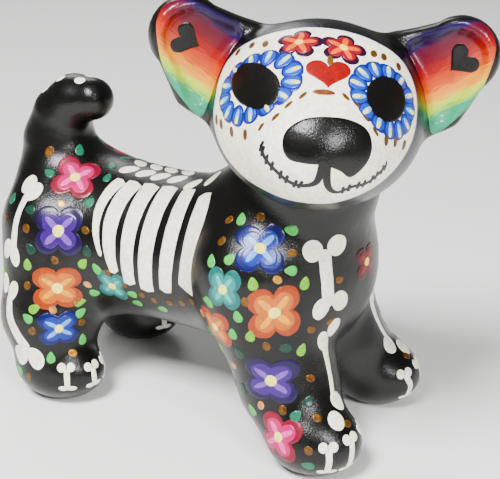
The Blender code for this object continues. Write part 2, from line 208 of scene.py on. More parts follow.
def craft_acrylic(name, coat=0.35, metallic=0.0, streaks=0.16):
    """Opaque paint whose colour each mark carries itself, with the streaks of a round brush."""
    material, tree, shader = new_material(name)
    place = varnished(tree, shader, 0.42, coat, grain=0.6)
    tint = add(tree, "ShaderNodeAttribute", attribute_name="tint").outputs["Color"]
    brush = add(tree, "ShaderNodeTexNoise",
                {"Vector": place, "Scale": 1.0 / (HAIRS * MM), "Detail": 3.0, "Distortion": 1.2})
    shade = add(tree, "ShaderNodeMapRange",
                {"Value": brush, "From Min": NOISE_LOW, "From Max": NOISE_HIGH,
                 "To Min": 1.0 - streaks, "To Max": 1.0 + streaks * 0.4})
    colour = add(tree, "ShaderNodeVectorMath", {0: tint, "Scale": shade}, operation="SCALE")
    deep = add(tree, "ShaderNodeGamma", {"Color": colour, "Gamma": COATS})
    tree.links.new(deep.outputs[0], shader.inputs["Base Color"])
    shader.inputs["Metallic"].default_value = metallic
    return material


PAINT = craft_acrylic("craft_acrylic_under_gloss_varnish")
BRONZE = craft_acrylic("bronze_acrylic_with_mica", coat=0.3, metallic=0.35, streaks=0.45)
print("finishes:", PAINT.name, BRONZE.name)

# %% [markdown]
# ## The black skin
# The shells are seen as one form, because the maker papers over every joint. That form follows a
# rule: rounded rods and eggs melted into each other. Geometry Nodes can hold the rule itself as a
# distance, negative inside, fill a volume with it and draw the surface where it is zero. That gives
# the fillets between legs, belly, neck and head for free, which no stack of primitives would. A rod
# is two balls, each a centre and a radius; an egg is a centre and three half sizes.

# %% Sizes of the form, the same as the frame's
SHIFT = Vector((9.8, 16.0, 0.0))
BARREL = ((0.0, 2.0, 50.8), (24.3, 50.0, 24.3))
CHEST = ((0.0, -33.6, 54.6), (28.0, 28.0, 28.0))
RUMP = ((0.0, 34.0, 49.0), (23.7, 28.0, 25.7))
CHEST_BLEND, RUMP_BLEND, NECK_BLEND = 22.0, 16.0, 20.0
NECK_LOW = ((-0.5, -32.0, 68.0), 19.2)
NECK_HIGH = ((-2.5, -43.8, 85.8), 19.8)
FRONT_LEG = (((19.3, -31.7, 58.0), 16.8), ((17.0, -44.0, 22.3), 14.4), ((23.2, -52.9, 12.0), 11.3))
FRONT_PAW = ((23.2, -55.9, 10.3), (11.8, 14.4, 10.3))
HIND_LEG = (((13.1, 45.6, 55.0), 15.9), ((19.7, 42.9, 26.0), 15.3), ((23.6, 39.5, 12.0), 10.9))
HIND_PAW = ((23.6, 37.5, 10.0), (11.4, 15.7, 10.0))
LEG_BLEND, FRONT_JOIN, HIND_JOIN = 8.0, 11.0, 12.0
TAIL_CURVE = ((0.0, 44.0, 58.0), (0.0, 56.8, 76.6), (-0.6, 48.7, 98.2), (-0.6, 35.7, 95.6))
TAIL_RADII = (16.3, 9.9, 6.8)
TAIL_STEPS, TAIL_BLEND, TAIL_JOIN = 5, 4.0, 16.0
HEAD_CENTRE = Vector((-22.4, -53.8, 108.1))
HEAD_TURN = (-61.8, -15.8, 4.2)
SKULL = ((0.0, 0.0, 2.0), (28.7, 26.8, 25.4))
MUZZLE = ((0.0, -18.8, -5.4), (16.8, 15.8, 13.8))
MUZZLE_BLEND, HEAD_JOIN = 14.0, 8.0
EAR_ROOT = ((28.4, 3.0, 13.8), 14.9)
EAR_TIP = ((36.2, -2.3, 20.6), 10.4)
EAR_HALF, EAR_EDGE, EAR_JOIN = 3.6, 4.0, 10.0
DISH_RIM, DISH_DEPTH, DISH_EDGE = 3.2, 2.2, 2.0
SOLE_EDGE = 1.0

yaw, pitch, roll = (math.radians(a) for a in HEAD_TURN)
HEAD_AXES = (Matrix.Rotation(yaw, 3, "Z") @ Matrix.Rotation(pitch, 3, "X")
             @ Matrix.Rotation(roll, 3, "Y"))


def mirrored(point, side):
    """A point given for the left side, on either side."""
    return Vector((side * point[0], point[1], point[2]))


print("front paws", 2 * FRONT_PAW[0][0], "mm apart, hind paws", 2 * HIND_PAW[0][0], "mm")

# %% [markdown]
# A distance says how far a place is from a form. The smaller of two distances joins their forms,
# the larger keeps where they overlap, and the smooth versions of both leave a fillet or a rounded
# edge, which is what wet paper pulp does in every corner.

# %% The form's building blocks as nodes
def melt(tree, a, b, reach):
    """Union of two distances with a fillet."""
    return add(tree, "ShaderNodeMath", [a, b, reach], operation="SMOOTH_MIN")


def trim(tree, a, b, reach):
    """Overlap of two distances with a rounded edge."""
    return add(tree, "ShaderNodeMath", [a, b, reach], operation="SMOOTH_MAX")


def along(tree, p, direction, share=1.0, clamp=False):
    """How far p reaches along a direction, times a share."""
    reach = add(tree, "ShaderNodeVectorMath", [p, direction], operation="DOT_PRODUCT")
    return add(tree, "ShaderNodeMath", [reach, share], operation="MULTIPLY", use_clamp=clamp)


def rod(tree, p, start, end):
    """Rod between two balls, each a centre and a radius."""
    run = Vector(end[0]) - Vector(start[0])
    q = add(tree, "ShaderNodeVectorMath", [p, start[0]], operation="SUBTRACT")
    t = along(tree, q, run, 1.0 / run.length_squared, True)
    foot = add(tree, "ShaderNodeVectorMath", {0: run, "Scale": t}, operation="SCALE")
    gap = add(tree, "ShaderNodeVectorMath", [q, foot], operation="DISTANCE")
    radius = add(tree, "ShaderNodeMath",
                 [t, end[1] - start[1], start[1]], operation="MULTIPLY_ADD")
    return add(tree, "ShaderNodeMath", [gap, radius], operation="SUBTRACT")


def egg(tree, p, centre, half):
    """Ellipsoid, as a distance that is true at its surface."""
    q = add(tree, "ShaderNodeVectorMath", [p, centre], operation="SUBTRACT")
    sizes = []
    for power in (1, 2):
        scaled = add(tree, "ShaderNodeVectorMath",
                     [q, [h ** power for h in half]], operation="DIVIDE")
        sizes.append(add(tree, "ShaderNodeVectorMath", [scaled], operation="LENGTH"))
    near, slope = sizes
    beyond = add(tree, "ShaderNodeMath", [near, 1.0], operation="SUBTRACT")
    product = add(tree, "ShaderNodeMath", [near, beyond], operation="MULTIPLY")
    return add(tree, "ShaderNodeMath", [product, slope], operation="DIVIDE")


print("fillet at the chest:", CHEST_BLEND, "mm, at the ears:", EAR_JOIN, "mm")

# %% [markdown]
# The body is a long egg with a deeper chest and a rounder rump; the neck is a thick rod that leans
# to the dog's right. Each leg is two rods bent at the knee, with an egg for the paw. Blocks melt
# widely into each other here, because paper over a wire frame shows no creases.

# %% Body, neck and legs
def trunk(tree, p):
    """Barrel, chest, rump and neck melted into one."""
    body = melt(tree, egg(tree, p, *BARREL), egg(tree, p, *CHEST), CHEST_BLEND)
    body = melt(tree, body, egg(tree, p, *RUMP), RUMP_BLEND)
    return melt(tree, body, rod(tree, p, NECK_LOW, NECK_HIGH), NECK_BLEND)


def leg(tree, p, joints, paw, side):
    """Two rods bent at the knee, with an egg for the paw."""
    top, knee, ankle = ((mirrored(c, side), r) for c, r in joints)
    limb = melt(tree, rod(tree, p, top, knee), rod(tree, p, knee, ankle), LEG_BLEND)
    return melt(tree, limb, egg(tree, p, mirrored(paw[0], side), paw[1]), LEG_BLEND)


print("trunk", round(2 * BARREL[1][1]), "mm long; blocks in a leg: 3")

# %% [markdown]
# The tail hooks forward like a walking stick and thins out to its tip. A smooth curve through its
# root and tip, drawn as a few short rods, follows that better than one bent cylinder, and the same
# curve is used later to place the dots on it.

# %% Tail
def tail_ball(t):
    """Centre and radius of the tail at t, from 0 at its root to 1 at its tip."""
    weights = ((1 - t) ** 3, 3 * t * (1 - t) ** 2, 3 * t * t * (1 - t), t ** 3)
    centre = sum((w * Vector(c) for w, c in zip(weights, TAIL_CURVE)), Vector())
    root, middle, tip = TAIL_RADII
    return centre, root * (1 - t) * (1 - 2 * t) + middle * 4 * t * (1 - t) + tip * t * (2 * t - 1)


def tail(tree, p):
    """Short rods along the curve of the tail."""
    balls = [tail_ball(i / TAIL_STEPS) for i in range(TAIL_STEPS + 1)]
    form = rod(tree, p, balls[0], balls[1])
    for start, end in zip(balls[1:-1], balls[2:]):
        form = melt(tree, form, rod(tree, p, start, end), TAIL_BLEND)
    return form


print("tail tip at height", round(tail_ball(1.0)[0].z, 1), "mm")

# %% [markdown]
# An ear is a solid paper leaf, wider at its root, with a shallow dish pressed into its front. Its
# outline is the hull of two circles; a slab gives it thickness, and a smaller copy of the outline,
# moved forwards, is cut out of it for the dish. A flat triangle would lose the soft rim.

# %% Ears
def ear_axes(side):
    """Along the leaf, across it, and out of its dished front."""
    run = (mirrored(EAR_TIP[0], side) - mirrored(EAR_ROOT[0], side)).normalized()
    across = Vector((0.0, -1.0, 0.0)).cross(run).normalized()
    front = run.cross(across)
    return run, across, front if front.y < 0 else -front


def ear(tree, q, side):
    """Flat leaf between two circles, rounded at its edge and dished in front."""
    root = mirrored(EAR_ROOT[0], side)
    run, across, front = ear_axes(side)
    length = (mirrored(EAR_TIP[0], side) - root).length
    off = add(tree, "ShaderNodeVectorMath", [q, root], operation="SUBTRACT")
    t = along(tree, off, run, 1.0 / length, True)
    foot = add(tree, "ShaderNodeVectorMath", {0: run * length, "Scale": t}, operation="SCALE")
    rest = add(tree, "ShaderNodeVectorMath", [off, foot], operation="SUBTRACT")
    flat = add(tree, "ShaderNodeCombineXYZ", [along(tree, rest, run), along(tree, rest, across)])
    gap = add(tree, "ShaderNodeVectorMath", [flat], operation="LENGTH")
    radius = add(tree, "ShaderNodeMath",
                 [t, EAR_TIP[1] - EAR_ROOT[1], EAR_ROOT[1]], operation="MULTIPLY_ADD")
    outline = add(tree, "ShaderNodeMath", [gap, radius], operation="SUBTRACT")
    depth = along(tree, off, front)
    thick = add(tree, "ShaderNodeMath", [depth], operation="ABSOLUTE")
    slab = add(tree, "ShaderNodeMath", [thick, EAR_HALF], operation="SUBTRACT")
    leaf = trim(tree, outline, slab, EAR_EDGE)
    floor = add(tree, "ShaderNodeMath", [EAR_HALF - DISH_DEPTH, depth], operation="SUBTRACT")
    inner = add(tree, "ShaderNodeMath", [outline, DISH_RIM], operation="ADD")
    dish = trim(tree, inner, floor, DISH_EDGE)
    solid = add(tree, "ShaderNodeMath", [dish, -1.0], operation="MULTIPLY")
    return trim(tree, leaf, solid, DISH_EDGE)


print("ear faces", [round(c, 2) for c in ear_axes(LEFT)[2]], "in the head's own axes")

# %% [markdown]
# The head is two eggs, skull and muzzle, turned to the dog's right and lowered a little. The whole
# dog is then melted in the order that a maker joins it: legs to the trunk, head to the neck, tail
# to the rump, and the ears last. Everything below the ground is cut off, so the soles are flat.

# %% The whole figure
def figure(tree, p):
    """Distance to the whole dog, flat under its paws."""
    form = trunk(tree, p)
    for side in (RIGHT, LEFT):
        form = melt(tree, form, leg(tree, p, FRONT_LEG, FRONT_PAW, side), FRONT_JOIN)
        form = melt(tree, form, leg(tree, p, HIND_LEG, HIND_PAW, side), HIND_JOIN)
    off = add(tree, "ShaderNodeVectorMath", [p, HEAD_CENTRE], operation="SUBTRACT")
    turned = {i: along(tree, off, HEAD_AXES.col[i]) for i in range(3)}
    q = add(tree, "ShaderNodeCombineXYZ", turned)
    skull = melt(tree, egg(tree, q, *SKULL), egg(tree, q, *MUZZLE), MUZZLE_BLEND)
    form = melt(tree, form, skull, HEAD_JOIN)
    form = melt(tree, form, tail(tree, p), TAIL_JOIN)
    for side in (RIGHT, LEFT):
        form = melt(tree, form, ear(tree, q, side), EAR_JOIN)
    below = along(tree, p, (0.0, 0.0, -1.0))
    return trim(tree, form, below, SOLE_EDGE)


print("head turned", HEAD_TURN[0], "degrees")

# %% [markdown]
# Every tree has a geometry going in, named inputs for its sizes, and real painted faces coming out.
# To use one, a mesh gets it as a modifier, the inputs are set, and the evaluated result is kept as
# a plain mesh, so that nothing live is left behind.

# %% Making a tree, ending a tree and running it
def new_tree(name, sockets):
    """Geometry Nodes tree with a geometry input and output and named inputs."""
    tree = bpy.data.node_groups.new(name, "GeometryNodeTree")
    tree.interface.new_socket("Geometry", in_out="INPUT", socket_type="NodeSocketGeometry")
    tree.interface.new_socket("Geometry", in_out="OUTPUT", socket_type="NodeSocketGeometry")
    for label, kind in sockets:
        tree.interface.new_socket(label, in_out="INPUT", socket_type=kind)
    return tree, add(tree, "NodeGroupInput")


def finish_tree(tree, geometry, material):
    """Every tree ends in real, smooth, painted faces."""
    real = add(tree, "GeometryNodeRealizeInstances", {"Geometry": geometry})
    smooth = add(tree, "GeometryNodeSetShadeSmooth", {"Geometry": real})
    painted = add(tree, "GeometryNodeSetMaterial", {"Geometry": smooth, "Material": material})
    add(tree, "NodeGroupOutput", [painted])


def grow(name, mesh, tree, values):
    """Run a tree on a mesh and keep the result as a plain object at the origin."""
    seed = bpy.data.objects.new(name + "_seed", mesh)
    bpy.context.scene.collection.objects.link(seed)
    modifier = seed.modifiers.new("grow", "NODES")
    modifier.node_group = tree
    for item in tree.interface.items_tree:
        if item.in_out == "INPUT" and item.name in values:
            modifier[item.identifier] = values[item.name]
    ready = seed.evaluated_get(bpy.context.evaluated_depsgraph_get())
    result = bpy.data.meshes.new_from_object(ready)
    bpy.data.objects.remove(seed)
    piece = bpy.data.objects.new(name, result)
    result.name = name
    bpy.context.scene.collection.objects.link(piece)
    return piece


print("trees so far:", len(bpy.data.node_groups))

# %% [markdown]
# The skin is the surface where the distance is zero, found on a grid of cells in a box around the
# dog. Cells of a millimetre keep the soft rims of the ears and the fillets of the legs; smaller
# ones only add faces, since the gesso's grain is drawn by the finish.

# %% The skin
CELL = 1.0
ROOM = 4.0                    # free space kept around the form


def skin_tree():
    """The figure as a volume of distances, and the surface at zero."""
    sockets = (("Low", "NodeSocketVector"), ("High", "NodeSocketVector"),
               ("Cells X", "NodeSocketInt"), ("Cells Y", "NodeSocketInt"),
               ("Cells Z", "NodeSocketInt"), ("Paint", "NodeSocketMaterial"))
    tree, given = new_tree("melted_form", sockets)
    metres = add(tree, "GeometryNodeInputPosition")
    p = add(tree, "ShaderNodeVectorMath",
            [metres, (1.0 / MM,) * 3, -SHIFT], operation="MULTIPLY_ADD")
    inside = add(tree, "ShaderNodeMath", [figure(tree, p), -1.0], operation="MULTIPLY")
    volume = add(tree, "GeometryNodeVolumeCube",
                 {"Density": inside, "Background": -1.0, "Min": given.outputs["Low"],
                  "Max": given.outputs["High"], "Resolution X": given.outputs["Cells X"],
                  "Resolution Y": given.outputs["Cells Y"],
                  "Resolution Z": given.outputs["Cells Z"]})
    surface = add(tree, "GeometryNodeVolumeToMesh",
                  {"Volume": volume, "Threshold": 0.0}, resolution_mode="GRID")
    finish_tree(tree, surface, given.outputs["Paint"])
    return tree


low, high = (Vector(c) for c in cad_box)
low, high = low - Vector((ROOM * MM,) * 3), high + Vector((ROOM * MM,) * 3)
cells = [round(length / (CELL * MM)) for length in high - low]
skin = grow("painted_skin", bpy.data.meshes.new("empty"), skin_tree(),
            {"Low": low, "High": high, "Paint": BLACK,
             "Cells X": cells[0], "Cells Y": cells[1], "Cells Z": cells[2]})
print("skin:", len(skin.data.polygons), "faces")

# %% [markdown]
# ## Finding a place on the skin
# A painter thinks in places such as "outside of the front leg, two fingers up", not in x, y and z.
# So each place is given that way: round a leg, over the back, or on the face. A ray from outside
# finds the skin there, and with it the way the skin faces. The ray starts close to the skin, so
# that it can't meet another leg or an ear first.

# %% Spots: a place, the way out of the skin and the way up along it
skin_rays = BVHTree.FromPolygons([v.co for v in skin.data.vertices],
                                 [p.vertices for p in skin.data.polygons])
CALM = 1.5                    # the facing is averaged over this radius, so no facet tilts a mark
LEG_START = 30.0              # how far out a ray starts
BACK_START = 36.0
SPINE_HEIGHT = 52.0


def in_metres(point):
    """From millimetres at the dog's own origin to metres in the frame."""
    return (Vector(point) + SHIFT) * MM


def cast(aim, outward, up, distance):
    """Spot where a ray towards aim, from outside, meets the skin."""
    outward = Vector(outward).normalized()
    start = in_metres(aim) + outward * distance * MM
    place, facing, _, _ = skin_rays.ray_cast(start, -outward)
    near = skin_rays.find_nearest_range(place, CALM * MM)
    facing = sum((n for _, n, _, _ in near), facing).normalized()
    up = Vector(up) - facing * facing.dot(Vector(up))
    return place, facing, up.normalized()


def leg_middle(joints, side, height):
    """The leg's middle at a height above the ground."""
    points = [mirrored(c, side) for c, _ in joints][::-1]
    heights = [p.z for p in points]
    middle = [float(np.interp(height, heights, [p[i] for p in points])) for i in (0, 1)]
    return Vector((*middle, height))


def round_leg(joints, side, angle, height):
    """Round a leg: 0 is its outer side and 90 its front."""
    a = math.radians(angle)
    out = (side * math.cos(a), -math.sin(a), 0.0)
    return cast(leg_middle(joints, side, height), out, (0.0, 0.0, 1.0), LEG_START)


def over_back(place, angle, side):
    """Round the trunk: 0 is its top and 90 its side."""
    a = math.radians(angle)
    return cast((0.0, place, SPINE_HEIGHT), (side * math.sin(a), 0.0, math.cos(a)),
                (0.0, 1.0, 0.0), BACK_START)


side_spot = round_leg(FRONT_LEG, RIGHT, 0, 50)[0] / MM
print("outer side of the right front leg:", [round(c) for c in side_spot])

# %% [markdown]
# Places on the face are angles seen from the middle of the head, as on a globe, because the mask
# bends round it. The front of an ear is nearly flat, so there a place is millimetres out and up.
# A third way starts from a spot and goes a few millimetres along the skin, for small groups.

# %% Spots on the face, in an ear and beside another spot
FREE_TURN = 58.0              # beyond this an ear hides the skull
FACE_START = 50.0
EAR_START = 20.0
NEARBY = 8.0


def on_face(turn, rise):
    """On the head, by degrees to its left and degrees up, as seen from its middle."""
    t, r = math.radians(turn), math.radians(rise)
    far = abs(turn) > FREE_TURN
    out = Vector((math.sin(t) * math.cos(r), -math.cos(t) * math.cos(r), math.sin(r)))
    aim = Vector(SKULL[0])
    if far:     # the ear would be in the way: look past it, at the skull's own surface
        aim = aim + out / (Vector([c / h for c, h in zip(out, SKULL[1])]).length)
        t = math.copysign(math.radians(FREE_TURN), turn)
        out = Vector((math.sin(t) * math.cos(r), -math.cos(t) * math.cos(r), math.sin(r)))
    return cast(HEAD_CENTRE + HEAD_AXES @ aim, HEAD_AXES @ out, HEAD_AXES.col[2], FACE_START)


def in_ear(side, left, up):
    """On the dished front of an ear, by millimetres out and up in the head's own axes."""
    aim = HEAD_CENTRE + HEAD_AXES @ Vector((side * left, EAR_TIP[0][1], up))
    return cast(aim, -HEAD_AXES.col[1], HEAD_AXES.col[2], EAR_START)


def beside(spot, right, up, distance=NEARBY):
    """A spot a few millimetres away from another, along the skin."""
    place, facing, upward = spot
    sideways = upward.cross(facing)
    aim = (place + (sideways * right + upward * up) * MM) / MM - SHIFT
    return cast(aim, facing, upward, distance)


print("right eye sits at", [round(c, 1) for c in on_face(-40, 14)[0] / MM])

# %% [markdown]
# ## Paint that lies on the skin
# A brush mark is a film of paint about a tenth of a millimetre high. Each kind of mark is drawn
# once as a flat little sheet. A Geometry Nodes tree puts a copy at every spot, turns it to face out
# of the skin, wobbles its outline as a hand does, drops each of its points onto the skin and lifts
# it by the film's height. The rim stays just under the layer below, so no gap can show. Stickers
# with a picture on them would be simpler, but they would lie flat and have no thickness.

# %% A flat sheet inside any outline
FILM = 0.12                   # height of the first layer
LAYER = 0.06                  # each layer on top of it
RIM_DROP = 0.16               # how far a rim dips below its own film
REACH = 4.0                   # marks look this far up and down for the skin
INNER_RIM = 0.94              # the last ring before the rim keeps the paint's edge steep


def sheet(name, outline, steps, rings):
    """Fan of rings inside an outline, a function from an angle to a point near the unit circle."""
    shares = [k / rings for k in range(1, rings)] + [INNER_RIM, 1.0]
    points, rim = [(0.0, 0.0, 0.0)], [0.0]
    for share in shares:
        for i in range(steps):
            x, y = outline(2.0 * math.pi * i / steps)
            points.append((x * share, y * share, 0.0))
            rim.append(1.0 if share == 1.0 else 0.0)
    faces = [(0, 1 + i, 1 + (i + 1) % steps) for i in range(steps)]
    for k in range(len(shares) - 1):
        a, b = 1 + k * steps, 1 + (k + 1) * steps
        faces += [(a + i, b + i, b + (i + 1) % steps, a + (i + 1) % steps) for i in range(steps)]
    mesh = bpy.data.meshes.new(name)
    mesh.from_pydata(points, [], faces)
    mesh.attributes.new("rim", "FLOAT", "POINT").data.foreach_set("value", rim)
    return bpy.data.objects.new(name, mesh)


def polar(radius):
    """Outline from a radius at each angle."""
    return lambda a: (radius(a) * math.cos(a), radius(a) * math.sin(a))


print("film of paint", FILM, "mm, each layer on it", LAYER, "mm")

# %% [markdown]
# The outlines are the shapes that a round brush leaves. A dot is one press, a leaf is a press and a
# pull, a flower is four presses side by side. No two real flowers are alike: their petals stand
# evenly, spread sideways or stretch up, so the flower comes in three habits.

# %% The outlines of the marks
def oval(taper):
    """Oval that is wider at one end."""
    return lambda a: (math.cos(a), math.sin(a) * (1.0 + taper * math.cos(a)))


def lobes(count, reach, size, swing=0.0):
    """Petals as circles round a circle; swing brings them together in pairs."""
    def radius(a):
        step = 2.0 * math.pi / count
        a += math.radians(swing) * math.cos(2.0 * a)
        off = (a + step / 2.0) % step - step / 2.0
        return reach * math.cos(off) + math.sqrt(max(size ** 2 - (reach * math.sin(off)) ** 2, 0.0))
    return polar(radius)


def cross(swing):
    """Four strokes that follow the petals of the same swing."""
    def radius(a):
        return 0.2 + 0.8 * abs(math.cos(2.0 * (a + math.radians(swing) * math.cos(2.0 * a)))) ** 4
    return polar(radius)


def heart(a):
    """The usual heart curve, in half widths."""
    waves = zip((13, -5, -2, -1), (1, 2, 3, 4))
    return (math.sin(a) ** 3, sum(share * math.cos(k * a) for share, k in waves) / 16)


SHEETS = {
    "dot": sheet("dot_sheet", polar(lambda a: 1.0), 16, 3),
    "leaf": sheet("leaf_sheet", oval(-0.35), 16, 3),
    "five": sheet("five_petal_sheet", lobes(5, 0.62, 0.38), 60, 5),
    "star": sheet("star_sheet", polar(lambda a: 0.3 + 0.7 * abs(math.cos(2.5 * a)) ** 3), 60, 4),
    "drop": sheet("drop_sheet", oval(0.3), 20, 4),
    "heart": sheet("heart_sheet", heart, 40, 5),
    "round": sheet("round_sheet", polar(lambda a: 1.0), 40, 7),
}
for habit, swing in (("even", 0.0), ("wide", -12.0), ("tall", 12.0)):
    SHEETS[habit + " petals"] = sheet(habit + "_petal_sheet", lobes(4, 0.56, 0.44, swing), 56, 7)
    SHEETS[habit + " cross"] = sheet(habit + "_cross_sheet", cross(swing), 48, 5)
print("kinds of mark:", ", ".join(SHEETS))

# %% [markdown]
# Both kinds of mark, stamps and strokes, end the same way. A ray drops each point onto the skin,
# the skin's own facing lifts it by the paint's height, and a slow noise first shifts the outline by
# a fraction of a millimetre, as a hand does.

# %% Laying paint on the skin
def laid_on(tree, geometry, given, lift):
    """Drop every point onto the skin along its own facing and lift it by the paint's height."""
    facing = add(tree, "GeometryNodeInputNamedAttribute",
                 {"Name": "facing"}, data_type="FLOAT_VECTOR")
    place = add(tree, "GeometryNodeInputPosition")
    target = add(tree, "GeometryNodeObjectInfo",
                 {"Object": given.outputs["Skin"]}).outputs["Geometry"]
    up = add(tree, "ShaderNodeVectorMath",
             {0: facing, "Scale": given.outputs["Reach"]}, operation="SCALE")
    start = add(tree, "ShaderNodeVectorMath", [place, up], operation="ADD")
    down = add(tree, "ShaderNodeVectorMath", {0: facing, "Scale": -1.0}, operation="SCALE")
    length = add(tree, "ShaderNodeMath", [given.outputs["Reach"], 4.0], operation="MULTIPLY")
    ray = add(tree, "GeometryNodeRaycast",
              {"Target Geometry": target, "Source Position": start, "Ray Direction": down,
               "Ray Length": length})
    rise = add(tree, "ShaderNodeVectorMath",
               {0: ray.outputs["Hit Normal"], "Scale": lift}, operation="SCALE")
    touch = add(tree, "ShaderNodeVectorMath", [ray.outputs["Hit Position"], rise], operation="ADD")
    return add(tree, "GeometryNodeSetPosition",
               {"Geometry": geometry, "Selection": ray.outputs["Is Hit"], "Position": touch})


def paint_height(tree, given):
    """Film height from the mark's layer, less the dip at its rim, in metres."""
    layer = add(tree, "GeometryNodeInputNamedAttribute", {"Name": "layer"})
    rim = add(tree, "GeometryNodeInputNamedAttribute", {"Name": "rim"})
    top = add(tree, "ShaderNodeMath",
              [layer, LAYER * MM, given.outputs["Film"]], operation="MULTIPLY_ADD")
    dip = add(tree, "ShaderNodeMath", [rim, RIM_DROP * MM], operation="MULTIPLY")
    return add(tree, "ShaderNodeMath", [top, dip], operation="SUBTRACT")


def wobbled(tree, geometry, given, size):
    """Shift points along a slow noise, as a hand-held brush does."""
    place = add(tree, "GeometryNodeInputPosition")
    noise = add(tree, "ShaderNodeTexNoise",
                {"Vector": place, "Scale": 1.0 / (size * MM), "Detail": 1.0},
                noise_dimensions="3D").outputs["Color"]
    centred = add(tree, "ShaderNodeVectorMath", [noise, (0.5,) * 3], operation="SUBTRACT")
    offset = add(tree, "ShaderNodeVectorMath",
                 {0: centred, "Scale": given.outputs["Wobble"]}, operation="SCALE")
    return add(tree, "GeometryNodeSetPosition", {"Geometry": geometry, "Offset": offset})


COMMON = (("Skin", "NodeSocketObject"), ("Reach", "NodeSocketFloat"), ("Film", "NodeSocketFloat"),
          ("Wobble", "NodeSocketFloat"), ("Paint", "NodeSocketMaterial"))
print("inputs that both trees share:", ", ".join(name for name, _ in COMMON))

# %% [markdown]
# The stamping tree reads a facing, an up and a size from every point of a small mesh, and puts one
# sheet on each. Instances keep this light until the last step makes them real.

# %% The tree that stamps marks
WAVER = 3.5                   # length of one waver of the hand


def stamp_tree():
    """One sheet on each point, turned, sized, wobbled and laid on the skin."""
    tree, given = new_tree("stamped_marks", (("Sheet", "NodeSocketObject"),) + COMMON)
    facing, up, size = (add(tree, "GeometryNodeInputNamedAttribute",
                            {"Name": n}, data_type="FLOAT_VECTOR")
                        for n in ("facing", "up", "size"))
    turn = add(tree, "FunctionNodeAxesToRotation",
               {"Primary Axis": facing, "Secondary Axis": up}, primary_axis="Z",
               secondary_axis="X")
    stamp = add(tree, "GeometryNodeObjectInfo",
                {"Object": given.outputs["Sheet"]}).outputs["Geometry"]
    copies = add(tree, "GeometryNodeInstanceOnPoints",
                 {"Points": given.outputs["Geometry"], "Instance": stamp, "Rotation": turn,
                  "Scale": size})
    real = add(tree, "GeometryNodeRealizeInstances", {"Geometry": copies})
    loose = wobbled(tree, real, given, WAVER)
    laid = laid_on(tree, loose, given, paint_height(tree, given))
    finish_tree(tree, laid, given.outputs["Paint"])
    return tree


STAMPS = stamp_tree()
print("nodes in the stamping tree:", len(STAMPS.nodes))

# %% [markdown]
# Marks are noted first and made later, all those of one piece together, so that a hundred dots cost
# one run of the tree. Each row of notes is a spot, a size, a colour and a layer.

# %% Noting marks, then making them
marks = {}      # piece name -> kind of sheet -> rows


def stamp(piece, kind, spot, size, colour, layer=0.0, turn=0.0):
    """Note one mark; size is its half length and half width, turn is from up, in degrees."""
    place, facing, up = spot
    up = Matrix.Rotation(math.radians(turn), 3, facing) @ up
    rows = marks.setdefault(piece, {}).setdefault(kind, [])
    rows.append((place, facing, up, (size[0] * MM, size[1] * MM, MM), linear(colour), layer))


def fill(mesh, name, values):
    """Store one number, vector or colour per point."""
    values = np.array(values, np.float32)
    width = values.size // len(values)
    kind, field = {1: ("FLOAT", "value"), 3: ("FLOAT_VECTOR", "vector"),
                   4: ("FLOAT_COLOR", "color")}[width]
    attribute = mesh.attributes.new(name, kind, "POINT")
    attribute.data.foreach_set(field, values.ravel())


def renamed(name, obj):
    """Give an object and its mesh the same name."""
    obj.name = name
    obj.data.name = name
    return obj


def joined(name, parts):
    """Join objects into one piece."""
    if len(parts) == 1:
        return renamed(name, parts[0])
    with bpy.context.temp_override(active_object=parts[0], selected_editable_objects=parts):
        bpy.ops.object.join()
    return renamed(name, parts[0])


def lay_marks(piece, paint, wobble=0.5):
    """All marks of a piece, one kind of sheet after another, joined."""
    parts = []
    for kind, rows in marks.pop(piece).items():
        mesh = bpy.data.meshes.new(piece)
        mesh.from_pydata([r[0] for r in rows], [], [])
        for i, label in enumerate(("facing", "up", "size", "tint", "layer")):
            fill(mesh, label, [r[i + 1] for r in rows])
        values = {"Sheet": SHEETS[kind], "Skin": skin, "Reach": REACH * MM, "Film": FILM * MM,
                  "Wobble": wobble * MM, "Paint": paint}
        parts.append(grow(piece + "_" + kind, mesh, STAMPS, values))
    obj = joined(piece, parts)
    print(piece, len(obj.data.polygons), "faces")
    return obj


print("marks noted so far:", len(marks))

# %% [markdown]
# Long marks such as ribs, bone shafts and the stitched smile are strokes: a smooth path over the
# skin with a half width at each of its points. A second tree rounds the path, sweeps a short flat
# line along it, facing out of the skin, narrows it to round ends and lays it down like the stamps.

